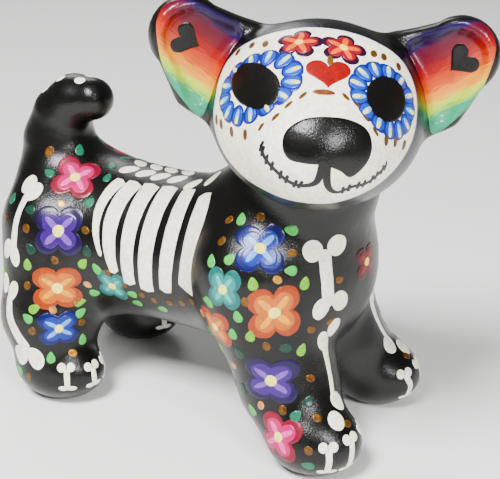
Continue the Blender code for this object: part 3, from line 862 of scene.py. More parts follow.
# %% The tree that paints strokes
def stroke_tree():
    """A ribbon along each path, rounded at its ends and laid on the skin."""
    own = (("Step", "NodeSocketFloat"), ("Roundness", "NodeSocketFloat"),
           ("Brush", "NodeSocketObject"))
    tree, given = new_tree("brush_strokes", own + COMMON)
    curve = add(tree, "GeometryNodeMeshToCurve", {"Mesh": given.outputs["Geometry"]})
    smooth = add(tree, "GeometryNodeCurveSplineType", {"Curve": curve}, spline_type="CATMULL_ROM")
    even = add(tree, "GeometryNodeResampleCurve",
               {"Curve": smooth, "Length": given.outputs["Step"]}, mode="LENGTH")
    facing = add(tree, "GeometryNodeInputNamedAttribute",
                 {"Name": "facing"}, data_type="FLOAT_VECTOR")
    framed = add(tree, "GeometryNodeSetCurveNormal",
                 {"Curve": even, "Normal": facing}, mode="FREE")
    half = add(tree, "GeometryNodeInputNamedAttribute", {"Name": "half"})
    here = add(tree, "GeometryNodeSplineParameter").outputs["Length"]
    whole = add(tree, "GeometryNodeSplineLength").outputs["Length"]
    left = add(tree, "ShaderNodeMath", [whole, here], operation="SUBTRACT")
    end = add(tree, "ShaderNodeMath", [here, left], operation="MINIMUM")
    cap = add(tree, "ShaderNodeMath", [half, given.outputs["Roundness"]], operation="MULTIPLY")
    share = add(tree, "ShaderNodeMath", [end, cap], operation="DIVIDE", use_clamp=True)
    far = add(tree, "ShaderNodeMath", [1.0, share], operation="SUBTRACT")
    square = add(tree, "ShaderNodeMath", [far, far], operation="MULTIPLY")
    inside = add(tree, "ShaderNodeMath", [1.02, square], operation="SUBTRACT")
    round_end = add(tree, "ShaderNodeMath", [inside], operation="SQRT")
    width = add(tree, "ShaderNodeMath", [round_end, half], operation="MULTIPLY")
    brush = add(tree, "GeometryNodeObjectInfo",
                {"Object": given.outputs["Brush"]}).outputs["Geometry"]
    profile = add(tree, "GeometryNodeMeshToCurve", {"Mesh": brush})
    swept = add(tree, "GeometryNodeCurveToMesh",
                {"Curve": framed, "Profile Curve": profile, "Scale": width})
    laid = laid_on(tree, wobbled(tree, swept, given, 3.0), given, paint_height(tree, given))
    finish_tree(tree, laid, given.outputs["Paint"])
    return tree


def brush_profile():
    """Unit line across a stroke, close-set at its two rims."""
    across = (-1.0, -0.93, -0.6, -0.2, 0.2, 0.6, 0.93, 1.0)
    mesh = bpy.data.meshes.new("brush")
    links = [(i, i + 1) for i in range(len(across) - 1)]
    mesh.from_pydata([(0.0, x, 0.0) for x in across], links, [])
    fill(mesh, "rim", [1.0 if abs(x) == 1.0 else 0.0 for x in across])
    return bpy.data.objects.new("brush", mesh)


STROKES = stroke_tree()
BRUSH = brush_profile()
print("nodes in the stroke tree:", len(STROKES.nodes))

# %% [markdown]
# Strokes are noted and made like the stamps. The sweep may come out with its face down, so each
# piece is checked against the way that the skin faces under it.

# %% Noting strokes, then making them
lines = {}      # piece name -> list of (spots, half widths, colour, layer)


def stroke(piece, spots, halves, colour, layer=0.0):
    """Note one stroke through spots; one half width for all of them, or one each."""
    if isinstance(halves, (int, float)):
        halves = [halves] * len(spots)
    lines.setdefault(piece, []).append((spots, halves, linear(colour), layer))


def facing_out(obj):
    """Turn over the sheets of a mesh that look into the skin."""
    mesh = obj.data
    out = np.zeros(len(mesh.vertices) * 3, np.float32)
    mesh.attributes["facing"].data.foreach_get("vector", out)
    out = out.reshape(-1, 3)
    wrong = [p for p in mesh.polygons if p.normal.dot(Vector(out[p.vertices[0]])) < 0.0]
    if len(wrong) > len(mesh.polygons) / 2:
        mesh.flip_normals()


def paint_strokes(piece, paint, wobble=0.35, step=0.6, roundness=1.0):
    """All strokes of a piece."""
    points, edges, rows = [], [], []
    for spots, halves, colour, layer in lines.pop(piece):
        start = len(points)
        for (place, facing, _), half in zip(spots, halves):
            points.append(place)
            rows.append((facing, half * MM, colour, layer))
        edges += [(i, i + 1) for i in range(start, len(points) - 1)]
    mesh = bpy.data.meshes.new(piece)
    mesh.from_pydata(points, edges, [])
    for i, label in enumerate(("facing", "half", "tint", "layer")):
        fill(mesh, label, [r[i] for r in rows])
    values = {"Brush": BRUSH, "Skin": skin, "Reach": REACH * MM, "Film": FILM * MM,
              "Wobble": wobble * MM, "Paint": paint, "Step": step * MM, "Roundness": roundness}
    obj = grow(piece, mesh, STROKES, values)
    facing_out(obj)
    print(piece, len(obj.data.polygons), "faces")
    return obj


print("strokes noted so far:", len(lines))

# %% [markdown]
# ## The skeleton
# Ribs, vertebrae and limb bones are cream paint laid straight on the black. The ribs are broad
# strokes that leave thin black gaps, each bowed a little and thinner at its lower end, so a rib is
# a stroke with three half widths: at its top, its middle and its foot. The vertebrae are slanting
# ovals on both sides of the spine. The same set is painted on the left.

# %% Ribs and vertebrae
BONE = "#FFFDEE"
RIB_ANGLES = ((22.0, 86.0), (21.0, 97.0), (19.5, 104.0), (18.5, 106.0), (21.0, 102.0), (28.5, 94.0))
RIB_PLACES = ((19.6, 22.2, 18.5), (14.6, 16.7, 13.4), (9.1, 9.5, 8.1), (2.6, 2.5, 1.9),
              (-5.0, -5.6, -5.1), (-13.4, -14.8, -13.8))
RIB_HALVES = ((2.1, 1.5, 0.6), (2.7, 2.6, 1.6), (2.9, 2.5, 2.1), (2.9, 2.7, 2.5), (2.7, 2.7, 2.2),
              (2.8, 4.2, 3.6))
RIB_ROUND = 0.15              # a rib ends nearly square, not in a half circle
RIB_STEPS = 8
VERTEBRAE = (20.9, 14.8, 9.2, 3.0, -4.6, -12.2)
SHOULDER = -4.0               # in front of it the neck widens and the vertebrae stand further apart


def bowed(ends, share):
    """Value at a share of the way along, bowed through a first, a middle and a last one."""
    a, b, c = ends
    rest = 1 - share
    return a * rest * (1 - 2 * share) + b * 4 * share * rest + c * share * (2 * share - 1)


def paint_ribs(side):
    """Six strokes from the spine down one side."""
    for (start, end), places, halves in zip(RIB_ANGLES, RIB_PLACES, RIB_HALVES):
        shares = [k / RIB_STEPS for k in range(RIB_STEPS + 1)]
        spots = [over_back(bowed(places, s), start + (end - start) * s, side) for s in shares]
        stroke("rib_paint", spots, [bowed(halves, s) for s in shares], BONE)


for side in (RIGHT, LEFT):
    paint_ribs(side)
    for place in VERTEBRAE:
        spot = over_back(place, 8.0 if place > SHOULDER else 15.0, side)
        stamp("vertebra_paint", "round", spot, (2.0, 3.4), BONE, turn=side * 45.0)
ribs = paint_strokes("rib_paint", PAINT, roundness=RIB_ROUND)

# %% [markdown]
# A limb bone is drawn as children draw it: a shaft with two round knobs at each end. The knobs lie
# a hair above the shaft, so that their overlap can't flicker. Each leg has one bone above the knee
# and one below it, which narrows in the middle.

# %% Limb bones
KNOB_LAYER = 0.4              # between the shaft and a whole second layer


def knobs(first, second, size, turn):
    """Two round ends of a bone."""
    for spot, lean in ((first, turn), (second, -turn)):
        stamp("bone_paint_knobs", "round", spot, size, BONE, KNOB_LAYER, lean)


def limb_bone(joints, side, shaft, width, top, bottom, top_size, bottom_size):
    """Shaft through places round a leg, with a pair of knobs at each end."""
    def at(place):
        return round_leg(joints, side, *place)
    stroke("bone_paint", [at(p) for p in shaft], width, BONE)
    knobs(at(top[0]), at(top[1]), top_size, 15.0)
    knobs(at(bottom[0]), at(bottom[1]), bottom_size, -20.0)


for side in (RIGHT, LEFT):
    limb_bone(FRONT_LEG, side, ((95, 69), (94, 60), (94, 51)), 2.0,
              ((88.5, 68.8), (101.5, 69.6)), ((88.5, 51.0), (102, 52.0)), (3.3, 3.1), (3.5, 2.8))
    limb_bone(FRONT_LEG, side, ((93, 41), (92, 36), (86, 29), (76, 22)), (2.2, 1.3, 0.9, 1.0),
              ((91, 39.9), (103, 43.0)), ((68, 19.6), (81, 22.4)), (3.2, 2.4), (3.2, 2.7))
    limb_bone(HIND_LEG, side, ((-7, 69), (-9, 62), (-12, 51)), (1.3, 1.1, 1.5),
              ((-23, 70.6), (3, 69.4)), ((-24, 51.0), (-10, 50.0)), (3.5, 2.8), (3.7, 2.2))
    limb_bone(HIND_LEG, side, ((-18, 37), (-16, 31), (-6, 24), (2, 20)), (1.4, 1.7, 2.0, 2.1),
              ((-30, 39.5), (-13, 38.6)), ((-17, 17.2), (10, 17.6)), (3.4, 2.2), (3.9, 3.0))
print("limb bones:", len(lines["bone_paint"]))

# %% [markdown]
# Each paw has three small upright toe bones, with two knobs above and a foot below. The tail ends
# in four pairs of short ovals, one pair on each row, up to its tip.

# %% Toe bones and tail bones
def toe_bone(joints, side, angle, high, low, spread, size):
    """Small upright bone on a paw, with two knobs above and a flat foot below."""
    middle = [round_leg(joints, side, angle, h) for h in (high, (high + low) / 2, low)]
    stroke("bone_paint", middle, 0.9 * size, BONE)
    for end, reach, rise, long, broad in ((0, 1.0, 0.6, 1.5, 1.35), (2, 0.9, -0.4, 0.9, 1.6)):
        for way in (-1, 1):
            spot = beside(middle[end], way * spread * reach, rise)
            stamp("bone_paint_knobs", "dot", spot, (long * size, broad * size), BONE, KNOB_LAYER)


for side in (RIGHT, LEFT):
    for angle, top in ((52, 13.6), (77, 14.6), (104, 14.0)):
        toe_bone(FRONT_LEG, side, angle, top, 5.8, 1.5, 1.1)
    for angle, top in ((51, 14.6), (82, 13.8), (108, 13.0)):
        toe_bone(HIND_LEG, side, angle, top, 8.4, 1.5, 1.05)

TAIL_ROWS, FIRST_ROW, ROW_STEP = 4, 0.56, 0.125     # in shares of the tail's length
for k in range(TAIL_ROWS):
    t = FIRST_ROW + ROW_STEP * k
    centre, _ = tail_ball(t)
    way = tail_ball(t + 0.01)[0] - centre
    out = Vector((0.0, way.z, -way.y))
    spot = cast(centre, out, way, EAR_START)
    for across in (-1, 1):
        stamp("vertebra_paint", "dot", beside(spot, across * 2.6, 0.0), (1.9, 1.6), BONE)
bones = paint_strokes("bone_paint", PAINT)
bone_knobs = lay_marks("bone_paint_knobs", PAINT, wobble=0.35)
vertebrae = lay_marks("vertebra_paint", PAINT)

# %% [markdown]
# ## Flowers, leaves and dots
# Each flower is four strokes deep: a dark four-lobed shape, a mid tone inside it, pale strokes
# along the petals and a yellow centre. Small leaves and dots of bronze fill the black between them.
# The painter changes the colours from flower to flower down each leg.

# %% Colours and the flower itself
HUES = {
    "blue": ("#14247A", "#2450AC", "#80B6F4"),
    "orange": ("#B45A00", "#D08400", "#ECB028"),
    "purple": ("#36165F", "#5E3090", "#966CC2"),
    "pink": ("#9C044C", "#CC1A82", "#F470BC"),
    "teal": ("#2C8683", "#3FA39C", "#62C8C0"),
    "red": ("#5E0814", "#84121E", "#A83A3A"),
}
CENTRE = "#FFF48E"
GREEN, LIME, PINE, SEA = "#5CC96A", "#8CC52A", "#1E5A4C", "#2F8A70"
COPPER, GOLD, TAN = "#8E6A28", "#D8A848", "#E0B07C"


def flower(spot, size, hue, turn=45.0, habit="even"):
    """Two lobed shapes, a pale cross and a centre, one on another."""
    dark, middle, light = HUES[hue]
    strokes = ((habit + " petals", 1.0, dark), (habit + " petals", 0.76, middle),
               (habit + " cross", 0.68, light), ("dot", 0.2, CENTRE))
    for layer, (kind, share, colour) in enumerate(strokes):
        stamp("flower_paint", kind, spot, (size * share, size * share), colour, layer, turn)


print("flower colours:", ", ".join(HUES))

# %% [markdown]
# Where the flowers are, round each leg and over the back: an angle and a height, or a place along
# the spine and an angle, then the size, colour, habit and turn. The left side repeats the right
# with its colours changed round, and one dark red flower sits on the chest.

# %% Flowers on legs, back and chest
HIND_FLOWERS = ((45, 59.6, 9.4, "purple", "even", 45), (43, 41.2, 9.0, "orange", "wide", 45),
                (45, 28.2, 7.4, "blue", "wide", 45))
FRONT_FLOWERS = ((41, 70.6, 8.4, "blue", "even", 42), (1, 59.0, 6.9, "teal", "tall", 45),
                 (46, 52.6, 9.4, "orange", "even", 48), (17, 31.2, 9.2, "purple", "wide", 44),
                 (-6, 14.6, 8.2, "pink", "even", 40), (-32, 44.5, 7.4, "orange", "even", 45))
TRUNK_FLOWERS = ((34.6, 32.0, 8.6, "pink", -8), (15.2, 109.0, 6.2, "teal", 5))
SWAP = {"purple": "pink", "orange": "teal", "blue": "orange", "teal": "purple", "pink": "blue"}
for side in (RIGHT, LEFT):
    swap = {} if side == RIGHT else SWAP
    for joints, flowers in ((HIND_LEG, HIND_FLOWERS), (FRONT_LEG, FRONT_FLOWERS)):
        for angle, height, size, hue, habit, turn in flowers:
            spot = round_leg(joints, side, angle, height)
            flower(spot, size, swap.get(hue, hue), turn, habit)
    for place, angle, size, hue, turn in TRUNK_FLOWERS:
        flower(over_back(place, angle, side), size, hue, 45.0 + side * turn)
flower(cast((-3.0, -34.0, 61.0), (0.0, -1.0, 0.0), (0.0, 0.0, 1.0), 40.0), 6.2, "red")
flowers = lay_marks("flower_paint", PAINT, wobble=0.9)

# %% [markdown]
# Dots and leaves fill the gaps that the flowers leave, so they follow no rule but the painter's
# eye: each has its own angle round the leg and its own height. A leaf also has its own green and
# its own turn; the dots are of copper, gold or tan.

# %% Leaves and dots on the legs
DOT, LEAF = (1.5, 1.25), (2.0, 1.45)     # half length and half width
HIND_DOTS = ((7, 59.5, COPPER), (65, 60.6, COPPER), (40, 50.2, COPPER), (8, 41.5, COPPER),
             (72, 28.6, COPPER), (15, 27.5, COPPER), (-8, 10.5, COPPER), (53, 67.0, GOLD),
             (62, 19.0, GOLD), (68, 42.5, TAN), (38, 34.6, TAN), (-34, 60.0, COPPER),
             (-36, 33.0, COPPER), (-42, 24.0, GOLD))
HIND_LEAVES = ((44, 74, SEA, 60), (76, 68, SEA, -30), (8, 65, PINE, 90), (13, 53.4, PINE, 40),
               (9, 48.2, LIME, 10), (62, 50, LIME, -40), (63, 54.4, PINE, 10), (68, 49, GREEN, 40),
               (74, 39.5, GREEN, -70), (18, 34.8, LIME, -60), (10, 31.6, GREEN, 60),
               (67, 35.8, LIME, -75), (69, 32, GREEN, -60), (76, 22.4, GREEN, 0),
               (33, 18.3, GREEN, 0), (-38, 66, SEA, 30), (-40, 42, LIME, 0), (-55, 30, GREEN, 40),
               (-32, 11, GREEN, 80))
FRONT_DOTS = ((-34, 75.5, COPPER), (52, 78.0, COPPER), (-17, 71.0, COPPER), (74, 69.0, COPPER),
              (21, 56.0, COPPER), (78, 45.2, COPPER), (26, 42.1, COPPER), (61, 31.2, COPPER),
              (20, 22.6, COPPER), (51, 21.0, COPPER), (31, 13.2, COPPER), (55, 62.2, GOLD),
              (-53, 46.0, TAN), (-31, 32.2, TAN), (-6, 22.2, TAN), (-50, 24.0, COPPER),
              (-34, 8.0, COPPER), (79, 18.0, COPPER), (98, 45.5, COPPER), (101, 59.0, COPPER))
FRONT_LEAVES = ((0, 76.5, GREEN, 15), (78, 75.2, GREEN, 80), (-19, 65.8, GREEN, 20),
                (4, 67.6, GREEN, -35), (69, 64.2, GREEN, 80), (7, 51.0, GREEN, 10),
                (-8, 44.6, GREEN, 0), (-24, 53.2, GREEN, 25), (31, 61.6, LIME, 10),
                (79, 60.0, LIME, -15), (13, 45.2, LIME, -10), (62, 39.9, LIME, -30),
                (45, 41.4, PINE, 80), (-10, 38.4, PINE, 30), (-28, 25.2, PINE, 0),
                (50, 25.2, PINE, -20), (-33, 19.0, GREEN, 30), (32, 21.6, SEA, -40),
                (28, 8.0, SEA, 80), (-48, 36.0, LIME, 0))
print("dots:", len(HIND_DOTS) + len(FRONT_DOTS), "leaves:", len(HIND_LEAVES) + len(FRONT_LEAVES))

# %% [markdown]
# The leg marks are painted from those lists. A few more leaves follow the flank flowers, a row of
# dots runs below the ribs, and one dot and one leaf sit at the root of the tail on each side.

# %% Painting the leaves and dots
TRUNK_LEAVES = ((27.0, 9, 60), (25.0, 24, 80), (8.3, 113, 0), (7.7, 122, 0), (-25.7, 88, 0),
                (-22.0, 116, 0), (-2.0, 121, 0))
BELLY_DOTS = ((16.3, 98), (10.6, 106), (4.7, 111), (0.2, 113), (-5.7, 111), (-10.9, 107),
              (-15.4, 100), (-20.1, 105))
TAIL_MARKS = (("dot", 45.0, 79.5, 0.05, COPPER), ("leaf", 41.0, 79.5, -0.5, SEA))
for side in (RIGHT, LEFT):
    for kind, place, height, forward, colour in TAIL_MARKS:
        spot = cast((0.0, place, height), (side, forward, 0.0), (0.0, 0.0, 1.0), 30.0)
        stamp(kind + "_paint", kind, spot, (2.0, 1.5), colour, turn=side * 20.0)
    for joints, dots, leaves in ((HIND_LEG, HIND_DOTS, HIND_LEAVES),
                                 (FRONT_LEG, FRONT_DOTS, FRONT_LEAVES)):
        for angle, height, colour in dots:
            spot = round_leg(joints, side, angle, height)
            stamp("dot_paint", "dot", spot, DOT, colour, turn=angle)
        for angle, height, colour, turn in leaves:
            spot = round_leg(joints, side, angle, height)
            stamp("leaf_paint", "leaf", spot, LEAF, colour, turn=side * -turn)
    for place, angle in BELLY_DOTS:
        stamp("dot_paint", "dot", over_back(place, angle, side), (1.3, 1.1), COPPER)
    for place, angle, turn in TRUNK_LEAVES:
        colour = SEA if angle < 80 else GREEN
        spot = over_back(place, angle, side)
        stamp("leaf_paint", "leaf", spot, (1.9, 1.3), colour, turn=side * turn)
leaves = lay_marks("leaf_paint", PAINT)
dots = lay_marks("dot_paint", BRONZE)

# %% [markdown]
# ## The face
# The face is a sugar skull: a cream mask with a thin violet edge, black eyes ringed with blue
# petals, a red heart, two small flowers, a black nose and a stitched smile. The big shapes are
# films too, but they bend round the whole head, so each is spread from its middle to its outline,
# ring by ring, with a ray for every point.

# %% Films with their own outline
def outline_through(points, steps):
    """Closed smooth line through a few points."""
    count = len(points)
    line = []
    for i in range(count):
        a, b, c, d = (np.array(points[(i + k) % count], float) for k in (-1, 0, 1, 2))
        for k in range(steps):
            t = k / steps
            line.append(0.5 * (2 * b + (c - a) * t + (2 * a - 5 * b + 4 * c - d) * t * t
                               + (3 * b - a - 3 * c + d) * t ** 3))
    return line


def film(name, outline, middle, place, colour, layer, paint, rings=12, steps=6, grow_by=0.0):
    """Sheet of paint inside an outline; place turns two coordinates into a spot."""
    line = outline_through(outline, steps)
    middle = np.array(middle, float)
    shares = [k / rings for k in range(1, rings)] + [1.0 - 0.35 / rings, 1.0]
    top = (FILM + layer * LAYER) * MM
    spots = [(place(*middle), top)]
    for share in shares:
        height = top - (RIM_DROP * MM if share == 1.0 else 0.0)
        for p in line:
            away = (p - middle) * (1.0 + grow_by)
            spots.append((place(*(middle + away * share)), height))
    points = [s[0] + s[1] * h for s, h in spots]
    n = len(line)
    faces = [(0, 1 + i, 1 + (i + 1) % n) for i in range(n)]
    for k in range(len(shares) - 1):
        a, b = 1 + k * n, 1 + (k + 1) * n
        faces += [(a + i, b + i, b + (i + 1) % n, a + (i + 1) % n) for i in range(n)]
    mesh = bpy.data.meshes.new(name)
    mesh.from_pydata(points, [], faces)
    fill(mesh, "tint", [linear(colour)] * len(points))
    fill(mesh, "facing", [s[1] for s, _ in spots])
    mesh.materials.append(paint)
    mesh.shade_smooth()
    obj = bpy.data.objects.new(name, mesh)
    bpy.context.scene.collection.objects.link(obj)
    facing_out(obj)
    return obj


arc = outline_through(((1, 0), (0, 1), (-1, 0), (0, -1)), 6)
print("four points become a line of", len(arc))

# %% [markdown]
# The mask is one big film of cream, in degrees on the head's globe: its outline is high over the
# eyes and full at the cheeks. A slightly larger violet film under it leaves the thin edge. The nose
# is a rounded black triangle with a cleft below it.

# %% Mask and nose
CREAM = "#FFFDEC"
INK = "#080706"
MASK = ((-76, -6), (-75, 6), (-79, 17), (-82, 27), (-76, 37), (-64, 46), (-45, 54), (-21, 60),
        (8, 60), (34, 55), (54, 45), (63, 36), (64, 26), (63, 15), (61, 5), (59, -6), (55, -16),
        (48, -25), (37, -32), (24, -37), (10, -42), (-8, -44), (-28, -45), (-52, -42), (-67, -32),
        (-74, -20))
NOSE = ((-17, -12), (-16, -6), (-10, -1), (-2, 1), (9, 1), (18, -2), (22, -8), (21, -16), (14, -23),
        (8, -20), (1, -18), (-7, -18), (-14, -17))
MASK_MIDDLE, MASK_RINGS = (-6, 4), 26
mask_edge = film("mask_edge_paint", MASK, MASK_MIDDLE, on_face, "#45447E", 0, PAINT,
                 rings=MASK_RINGS, grow_by=0.028)
mask = film("face_mask_paint", MASK, MASK_MIDDLE, on_face, CREAM, 1, PAINT, rings=MASK_RINGS)
nose = film("nose_paint", NOSE, (3, -9), on_face, INK, 2, BLACK, rings=10)
print("mask:", len(mask.data.polygons), "faces; nose:", len(nose.data.polygons))

# %% [markdown]
# Each eye is a black oval in a ring of thirteen petals. A petal is three drops on each other, deep
# blue, mid blue and pale, each smaller than the one below, with a pale yellow touch at its end. The
# ring is an oval too and leans with the eye, so every petal gets its own length and direction.

# %% Eyes
PETALS = (("#1A34A0", 1.0, 1.0, 2), ("#2F66C0", 0.82, 0.66, 3), ("#8CC4F0", 0.6, 0.26, 4))
EYES = ((-41, 14, 9.4, 5.6, 13.6, 10.2, 22.0), (35, 12, 7.2, 5.8, 11.4, 10.2, -28.0))
PETAL_COUNT = 13
PETAL_WIDTH, PETAL_UNDER = 2.9, 0.8       # half width; how far a petal starts under the eye
TOUCH, TOUCH_PLACE = "#F0F0A4", 0.35      # pale touch and its place along the petal


def petal(eye, inner, outer, lean):
    """Drops from a place near the eye to one further out, both before the ring leans."""
    run = outer - inner
    length = run.length / 2.0
    centre = (inner + outer) / 2.0
    tilt = math.radians(lean)
    x = centre.x * math.cos(tilt) - centre.y * math.sin(tilt)
    y = centre.x * math.sin(tilt) + centre.y * math.cos(tilt)
    spot = beside(eye, x, y, 12.0)
    way = math.degrees(math.atan2(run.y, run.x)) + lean - 90.0
    for colour, long, broad, layer in PETALS:
        size = (length * long, PETAL_WIDTH * broad)
        stamp("eye_petal_paint", "drop", spot, size, colour, layer, way)
    ahead = math.radians(way + 90)
    far = length * TOUCH_PLACE
    tip = beside(spot, far * math.cos(ahead), far * math.sin(ahead))
    stamp("eye_petal_paint", "drop", tip, (length * 0.42, 0.55), TOUCH, 5, way)


for turn, rise, wide, tall, out_wide, out_tall, lean in EYES:
    eye = on_face(turn, rise)
    stamp("eye_paint", "round", eye, (tall, wide), INK, 5, -lean)
    for k in range(PETAL_COUNT):
        a = 2.0 * math.pi * (k + 0.5) / PETAL_COUNT
        inner = Vector((wide * math.cos(a), tall * math.sin(a))) * PETAL_UNDER
        outer = Vector((out_wide * math.cos(a), out_tall * math.sin(a)))
        petal(eye, inner, outer, lean)
petals = lay_marks("eye_petal_paint", PAINT, wobble=0.3)
eyes = lay_marks("eye_paint", BLACK, wobble=0.5)

# %% [markdown]
# A red heart sits between the eyes with a short stalk above it. Over it are two five-petalled
# flowers: plum, then crimson, then an orange star and a yellow centre.

# %% Heart and forehead flowers
stamp("heart_paint", "heart", on_face(1, 24.5), (5.9, 5.0), "#A80008", 2, -90)
stamp("heart_paint", "dot", on_face(2, 32), (1.7, 0.8), COPPER, 3)
FOREHEAD = (("five", 1.0, "#4A1A48"), ("five", 0.78, "#A8103C"), ("star", 0.72, "#E87C10"),
            ("dot", 0.18, "#FFE070"))
for turn, rise, lean in ((-22, 43.5, 0.0), (12, 42, -18.0)):
    spot = on_face(turn, rise)
    for layer, (kind, share, colour) in enumerate(FOREHEAD, 2):
        stamp("forehead_flower_paint", kind, spot, (5.6 * share, 6.4 * share), colour, layer, lean)
hearts = lay_marks("heart_paint", PAINT, wobble=0.4)
forehead = lay_marks("forehead_flower_paint", PAINT, wobble=0.3)

# %% [markdown]
# Small bronze dots follow the cheeks and the brows, and short dashes run from the nose up to the
# eyes. They are the same stamps as on the body, only smaller.

# %% Dots and dashes on the mask
CHEEK_DOTS = ((-70, -6), (-64, -8), (-53, -11), (-40, -11), (31, -8), (39, -9), (49, -11))
BROW_DOTS = ((-73, 32), (-62, 38), (-49, 40), (35, 39), (43, 37), (53, 31))
DASHES = ((-29, -6), (-22, -1), (-17, 5), (-11, 10), (10, 11), (15, 8), (19, 2), (24, -4))
for turn, rise in CHEEK_DOTS:
    stamp("face_dot_paint", "dot", on_face(turn, rise), (1.45, 0.95), COPPER, 2)
for turn, rise in BROW_DOTS:
    lean = 40 if turn < 0 else -40
    stamp("face_dot_paint", "dot", on_face(turn, rise), (1.5, 0.95), COPPER, 2, lean)
for turn, rise in DASHES:
    lean = -35.0 if turn < 0 else 35.0
    stamp("face_dot_paint", "dot", on_face(turn, rise), (1.4, 0.55), COPPER, 2, lean)
stamp("face_dot_paint", "dot", on_face(-1, 12.5), (0.9, 2.9), "#A06A48", 2)
face_dots = lay_marks("face_dot_paint", BRONZE, wobble=0.3)

# %% [markdown]
# The smile is a thin dark line from the nose to each cheek, crossed by short stitches, as on a
# skull's teeth. The line thickens towards the nose, so it has its own half width at each spot.

# %% The stitched smile
SMILE = ((-28, -13), (-26, -18), (-19, -24), (-12, -28), (-6, -28), (-1, -25), (1, -15))
SMILE_LEFT = ((35, -19), (30, -23), (24, -27), (16, -28), (9, -31), (4, -27), (2, -17))
STITCH = 2.8
for path in (SMILE, SMILE_LEFT):
    spots = [on_face(*p) for p in path]
    stroke("smile_paint", spots, [0.6] * (len(spots) - 2) + [0.9, 1.2], "#17120C", 2)
    for (a, b) in zip(path[:-3], path[1:-2]):
        for share in (0.2, 0.6):
            turn, rise = (a[k] + (b[k] - a[k]) * share for k in (0, 1))
            middle = on_face(turn, rise)
            slant = 0.8 if path is SMILE else -0.5
            ends = [beside(middle, way * slant, way * STITCH / 2.0) for way in (-1, 1)]
            stroke("smile_paint", [ends[0], middle, ends[1]], 0.45, "#17120C", 2)
smile = paint_strokes("smile_paint", PAINT, wobble=0.15, step=0.35)

# %% [markdown]
# ## Rainbow ears
# The dished front of each ear is brushed with slanting bands, from violet at the top to teal at
# the bottom, drawn out with a dry brush so that neighbours streak into each other. A colour ramp
# over the height along the slant gives the bands, and noise stretched along them the streaks.

# %% Rainbow paint
BANDS = ((-21.0, "#3CA888"), (-17.9, "#48AE8C"), (-17.3, "#B4D43C"), (-15.0, "#CCDA44"),
         (-14.0, "#E8AC1C"), (-11.2, "#E09808"), (-10.6, "#D07000"), (-6.4, "#C04600"),
         (-5.6, "#A80004"), (-3.6, "#A4001A"), (-2.6, "#8A0038"), (1.0, "#760040"),
         (2.4, "#780850"), (3.4, "#3C1C68"), (7.0, "#301654"))
SMEAR = 1.5                   # how far one band is drawn into the next


def rainbow_acrylic():
    """Bands along the attribute that holds millimetres up the slant, and along it."""
    material, tree, shader = new_material("rainbow_acrylic_dry_brushed")
    varnished(tree, shader, 0.4, 0.4, grain=0.8)
    slant = add(tree, "ShaderNodeAttribute", attribute_name="slant").outputs["Vector"]
    streaks = add(tree, "ShaderNodeMapping", {"Vector": slant, "Scale": (4.0, 0.2, 1.0)})
    noise = add(tree, "ShaderNodeTexNoise", {"Vector": streaks, "Scale": 1.0, "Detail": 3.0})
    height = add(tree, "ShaderNodeSeparateXYZ", [slant]).outputs[0]
    push = add(tree, "ShaderNodeMapRange",
               {"Value": noise, "From Min": NOISE_LOW, "From Max": NOISE_HIGH,
                "To Min": -SMEAR, "To Max": SMEAR})
    shifted = add(tree, "ShaderNodeMath", [height, push], operation="ADD")
    low, high = BANDS[0][0], BANDS[-1][0]
    factor = add(tree, "ShaderNodeMapRange", {"Value": shifted, "From Min": low, "From Max": high})
    ramp = add(tree, "ShaderNodeValToRGB", [factor])
    stops = ramp.color_ramp.elements
    while len(stops) < len(BANDS):
        stops.new(0.5)
    for stop, (place, colour) in zip(stops, BANDS):
        stop.position = (place - low) / (high - low)
        stop.color = linear(colour)
    deep = add(tree, "ShaderNodeGamma", {"Color": ramp, "Gamma": COATS})
    tree.links.new(deep.outputs[0], shader.inputs["Base Color"])
    return material


RAINBOW = rainbow_acrylic()
print("bands end at", BANDS[0][0], "and", BANDS[-1][0], "mm along the slant")

# %% [markdown]
# The panel is a film like the mask, laid into the ear's dish. Every point keeps its height along
# the slant, measured in the head's own axes, so the bands of both ears fall towards the head. A
# small black heart is stamped near the top of each.

# %% The two ear panels and their hearts
EAR_PANEL = ((21.5, 21.0), (28.5, 24.8), (35.6, 27.2), (41.3, 26.2), (43.9, 21.8), (43.5, 16.0),
             (41.4, 8.2), (36.8, 1.6), (31.6, -3.0), (29.2, 1.6), (27.2, 8.5), (24.6, 14.6))
PANEL_MIDDLE = (35.0, 14.5)
SLOPE = 0.64     # the bands fall this much for each millimetre towards the head
panels = []
for side in (RIGHT, LEFT):
    panel = film("panel", EAR_PANEL, PANEL_MIDDLE, lambda a, b, side=side: in_ear(side, a, b + 2.0),
                 CREAM, 1.5, RAINBOW, rings=20, steps=8)
    slants = []
    for v in panel.data.vertices:
        q = HEAD_AXES.transposed() @ (v.co / MM - SHIFT - HEAD_CENTRE) - Vector(SKULL[0])
        slants.append((q.z - SLOPE * abs(q.x), q.x + side * SLOPE * q.z, 0.0))
    fill(panel.data, "slant", slants)
    panels.append(panel)
    stamp("ear_heart_paint", "heart", in_ear(side, 36.6, 19.2), (4.4, 4.4), INK, 4,
          -20 if side == RIGHT else -137)
rainbow = joined("ear_rainbow_paint", panels)
ear_hearts = lay_marks("ear_heart_paint", BLACK, wobble=0.5)

# %% [markdown]
# ## The pieces inside
# The rolled newspaper, the card tube, the paper strips and the wires stay as the frame has them,
# and get the finish of the real thing. Paper and card are matt fibres, mottled between two tones;
# the wire is drawn steel with a dull zinc skin, so only its roughness varies.

# %% Paper, card and wire
PAPER_ROUGHNESS = 0.92
ZINC_GRAIN = 0.8


